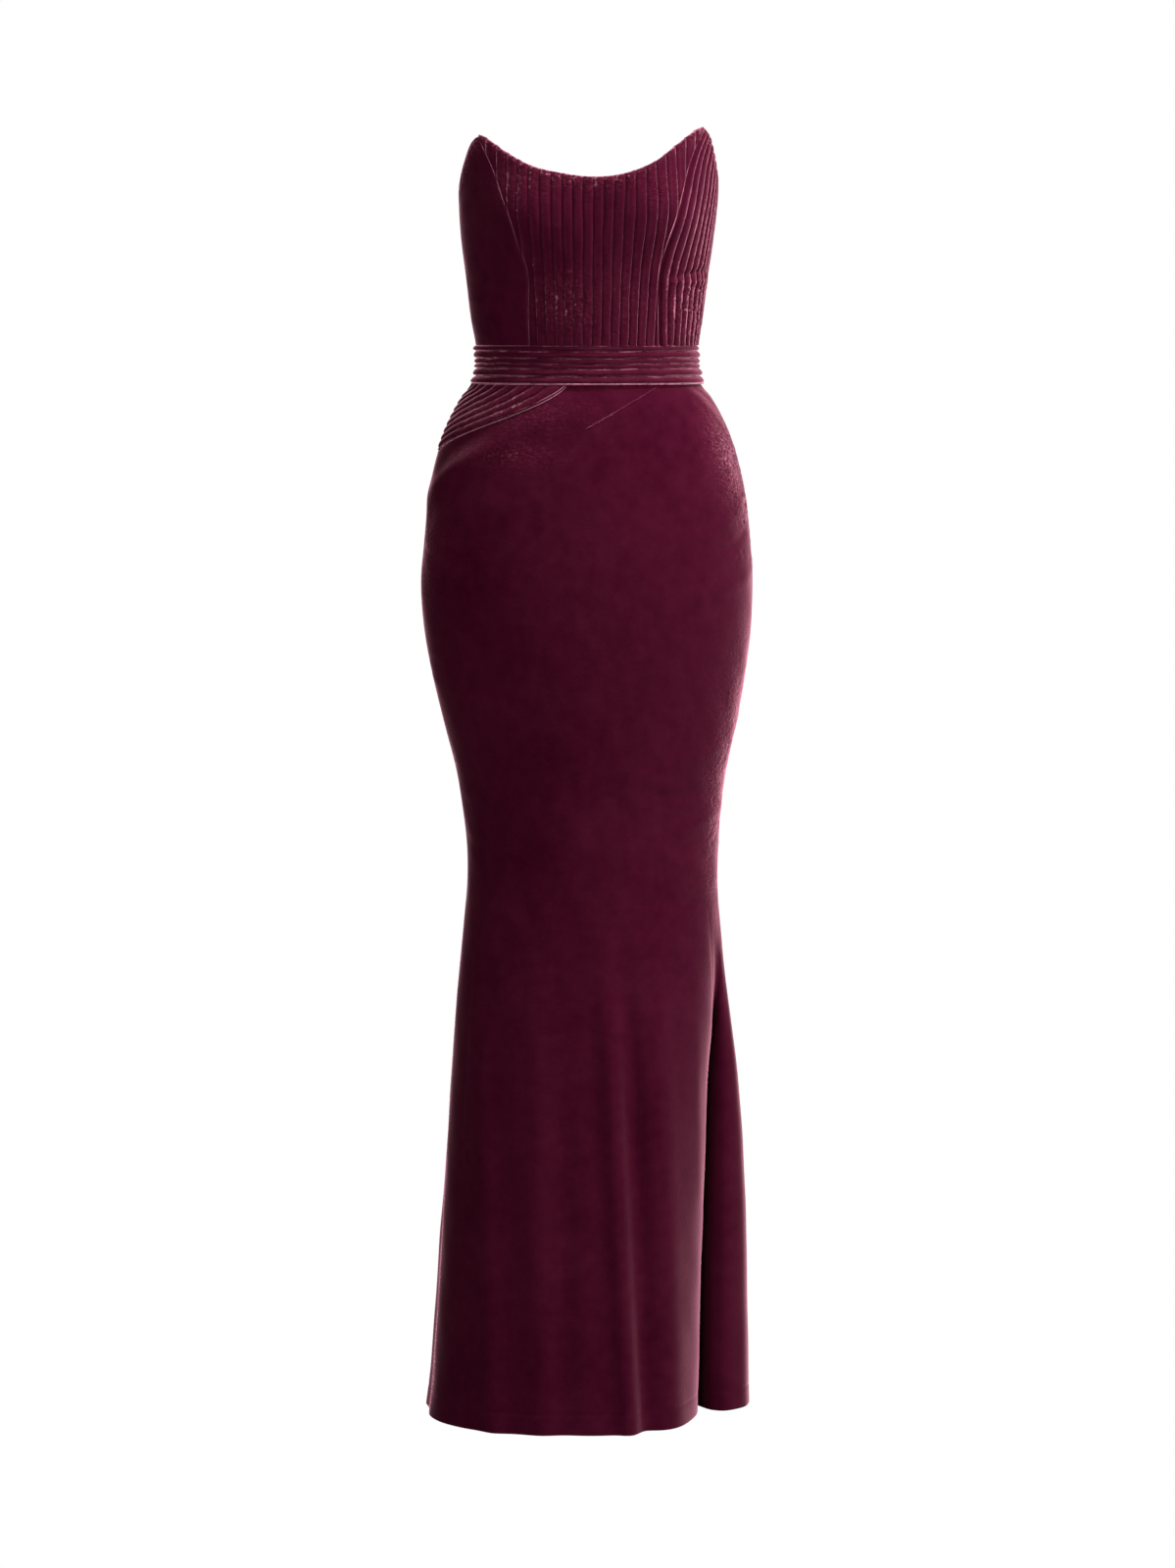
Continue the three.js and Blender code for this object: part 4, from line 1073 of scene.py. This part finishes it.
# Each lamp: its place, what it faces, its size, power and colour
LAMPS = [
    ("key", (3.0, -1.1, 1.0), (0, 0, -0.3), (0.7, 0.7), 150, (1, 0.98, 0.99)),
    ("top", (1.2, -0.8, 2.7), (0, 0, 0.1), (0.6, 0.6), 215, (1, 0.98, 0.99)),
    ("fill", (-1.5, -3.9, 0.5), (0, 0, -0.5), (1.6, 1.6), 165, (1, 0.98, 1)),
    ("behind", (2.4, 3.0, 0.9), (0, 0, -0.4), (1.4, 1.4), 40, (1, 0.98, 0.99)),
    ("back", (0.4, 2.6, 2.2), (0, 0, -0.4), (1.2, 1.2), 70, (1, 0.98, 0.99)),
]


def make_lights():
    for lamp in LAMPS:
        area_light(*lamp)
    bpy.context.scene.view_settings.view_transform = "Standard"


make_camera()
make_world()
make_floor()
make_lights()
NAP = nap_group()
VELVET = velvet("wine velvet", (0.0175, 0.0001, 0.0043), (0.060, 0.0065, 0.0175), 0.95, (0.92, 0.38, 0.5))
ENAMEL = enamel("wine enamel", (0.05, 0.004, 0.014))
TAPE = woven("woven zip tape", (0.014, 0.001, 0.004), (0.05, 0.006, 0.016))

# Each cut piece: its node, columns, rows, the place of its cloth, and its thickness
PIECES = [
    ("bodice_centre_front", 230, 132, centre_front_place, BODICE_CLOTH),
    ("bodice_side_front_right", 46, 70, side_front_place("right", False), BODICE_CLOTH),
    ("bodice_side_front_left", 140, 120, side_front_place("left", True), BODICE_CLOTH),
    ("bodice_back_right", 70, 56, bodice_back_place("right"), BODICE_CLOTH),
    ("bodice_back_left", 70, 56, bodice_back_place("left"), BODICE_CLOTH),
    ("waistband_front", 170, 60, band_place(-90, 90), BODICE_CLOTH),
    ("waistband_back_right", 90, 60, band_place(-180, -90), BODICE_CLOTH),
    ("waistband_back_left", 90, 60, band_place(90, 180), BODICE_CLOTH),
    ("hip_panel_right", 80, 130, hip_place, SKIRT_CLOTH),
    ("skirt_front", 130, 350, skirt_front_place, SKIRT_CLOTH),
    ("skirt_back_right", 84, 260, skirt_back_place("right"), SKIRT_CLOTH),
    ("skirt_back_left", 84, 260, skirt_back_place("left"), SKIRT_CLOTH),
]

for node, columns, rows, place, cloth in PIECES:
    piece = sew(node + "_velvet", columns, rows, place, cloth, VELVET)
    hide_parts(node)

# The neck rolls' ridge value is painted highlight, paling the neck edge where the top light catches it.
NECK_ROLL = {"radius": 1.25, "ridge": 0.5}
for node, columns, rows, place, cloth in PIECES[:5]:
    roll = neck_roll(place, columns)
    welt("neck_edge_" + node, roll, NECK_ROLL["radius"], NECK_ROLL["ridge"], VELVET)

# Two pipings along the hip seam: how far above it, how far out, and their radius. Both are painted pale
# with a ridge value, a painted highlight.
HIP_PIPINGS = [(0.3, 0.5, 0.55), (3.6, 2.0, 0.5)]
hip_angle = mix(HIP["start"] - 0.5, -89, np.linspace(0, 1, 90))
for number, (up, out, radius) in enumerate(HIP_PIPINGS):
    line = form_point(hip_angle, hip_seam(hip_angle) + up, out)
    welt(f"hip_piping_{number + 1}", line, radius, 0.9, VELVET)

# The slanting dart under the waistband, from its top to its point, painted a little paler with its ridge
# value as a painted highlight
DART = {"x": (66, -12), "z": (-19, -63), "out": 0.5, "radius": 0.6, "ridge": 0.5}
along_dart = np.linspace(0, 1, 60)
dart_z = mix(*DART["z"], along_dart)
dart_angle = np.degrees(np.arcsin(mix(*DART["x"], along_dart) / half_width(1, dart_z)))
welt("front_dart_line", form_point(dart_angle, dart_z, DART["out"]), DART["radius"], DART["ridge"], VELVET)

# The seam's edge under the waistband, from side to side across the front, painted pale with its ridge
# value as a painted highlight where light catches it under the band
WAIST_EDGE = {"below": 0.5, "out": 2.6, "radius": 0.9, "ridge": 0.9}
under_band = np.linspace(-89.5, 89.5, 200)
edge_z = np.full_like(under_band, BAND_BOTTOM - WAIST_EDGE["below"])
waist_edge = form_point(under_band, edge_z, WAIST_EDGE["out"])
welt("waist_seam_edge", waist_edge, WAIST_EDGE["radius"], WAIST_EDGE["ridge"], VELVET)

for node, finish in (("zip_tape", TAPE), ("zip_slider", ENAMEL), ("zip_pull", ENAMEL)):
    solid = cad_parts[node]
    for slot in solid.material_slots:
        slot.material = finish
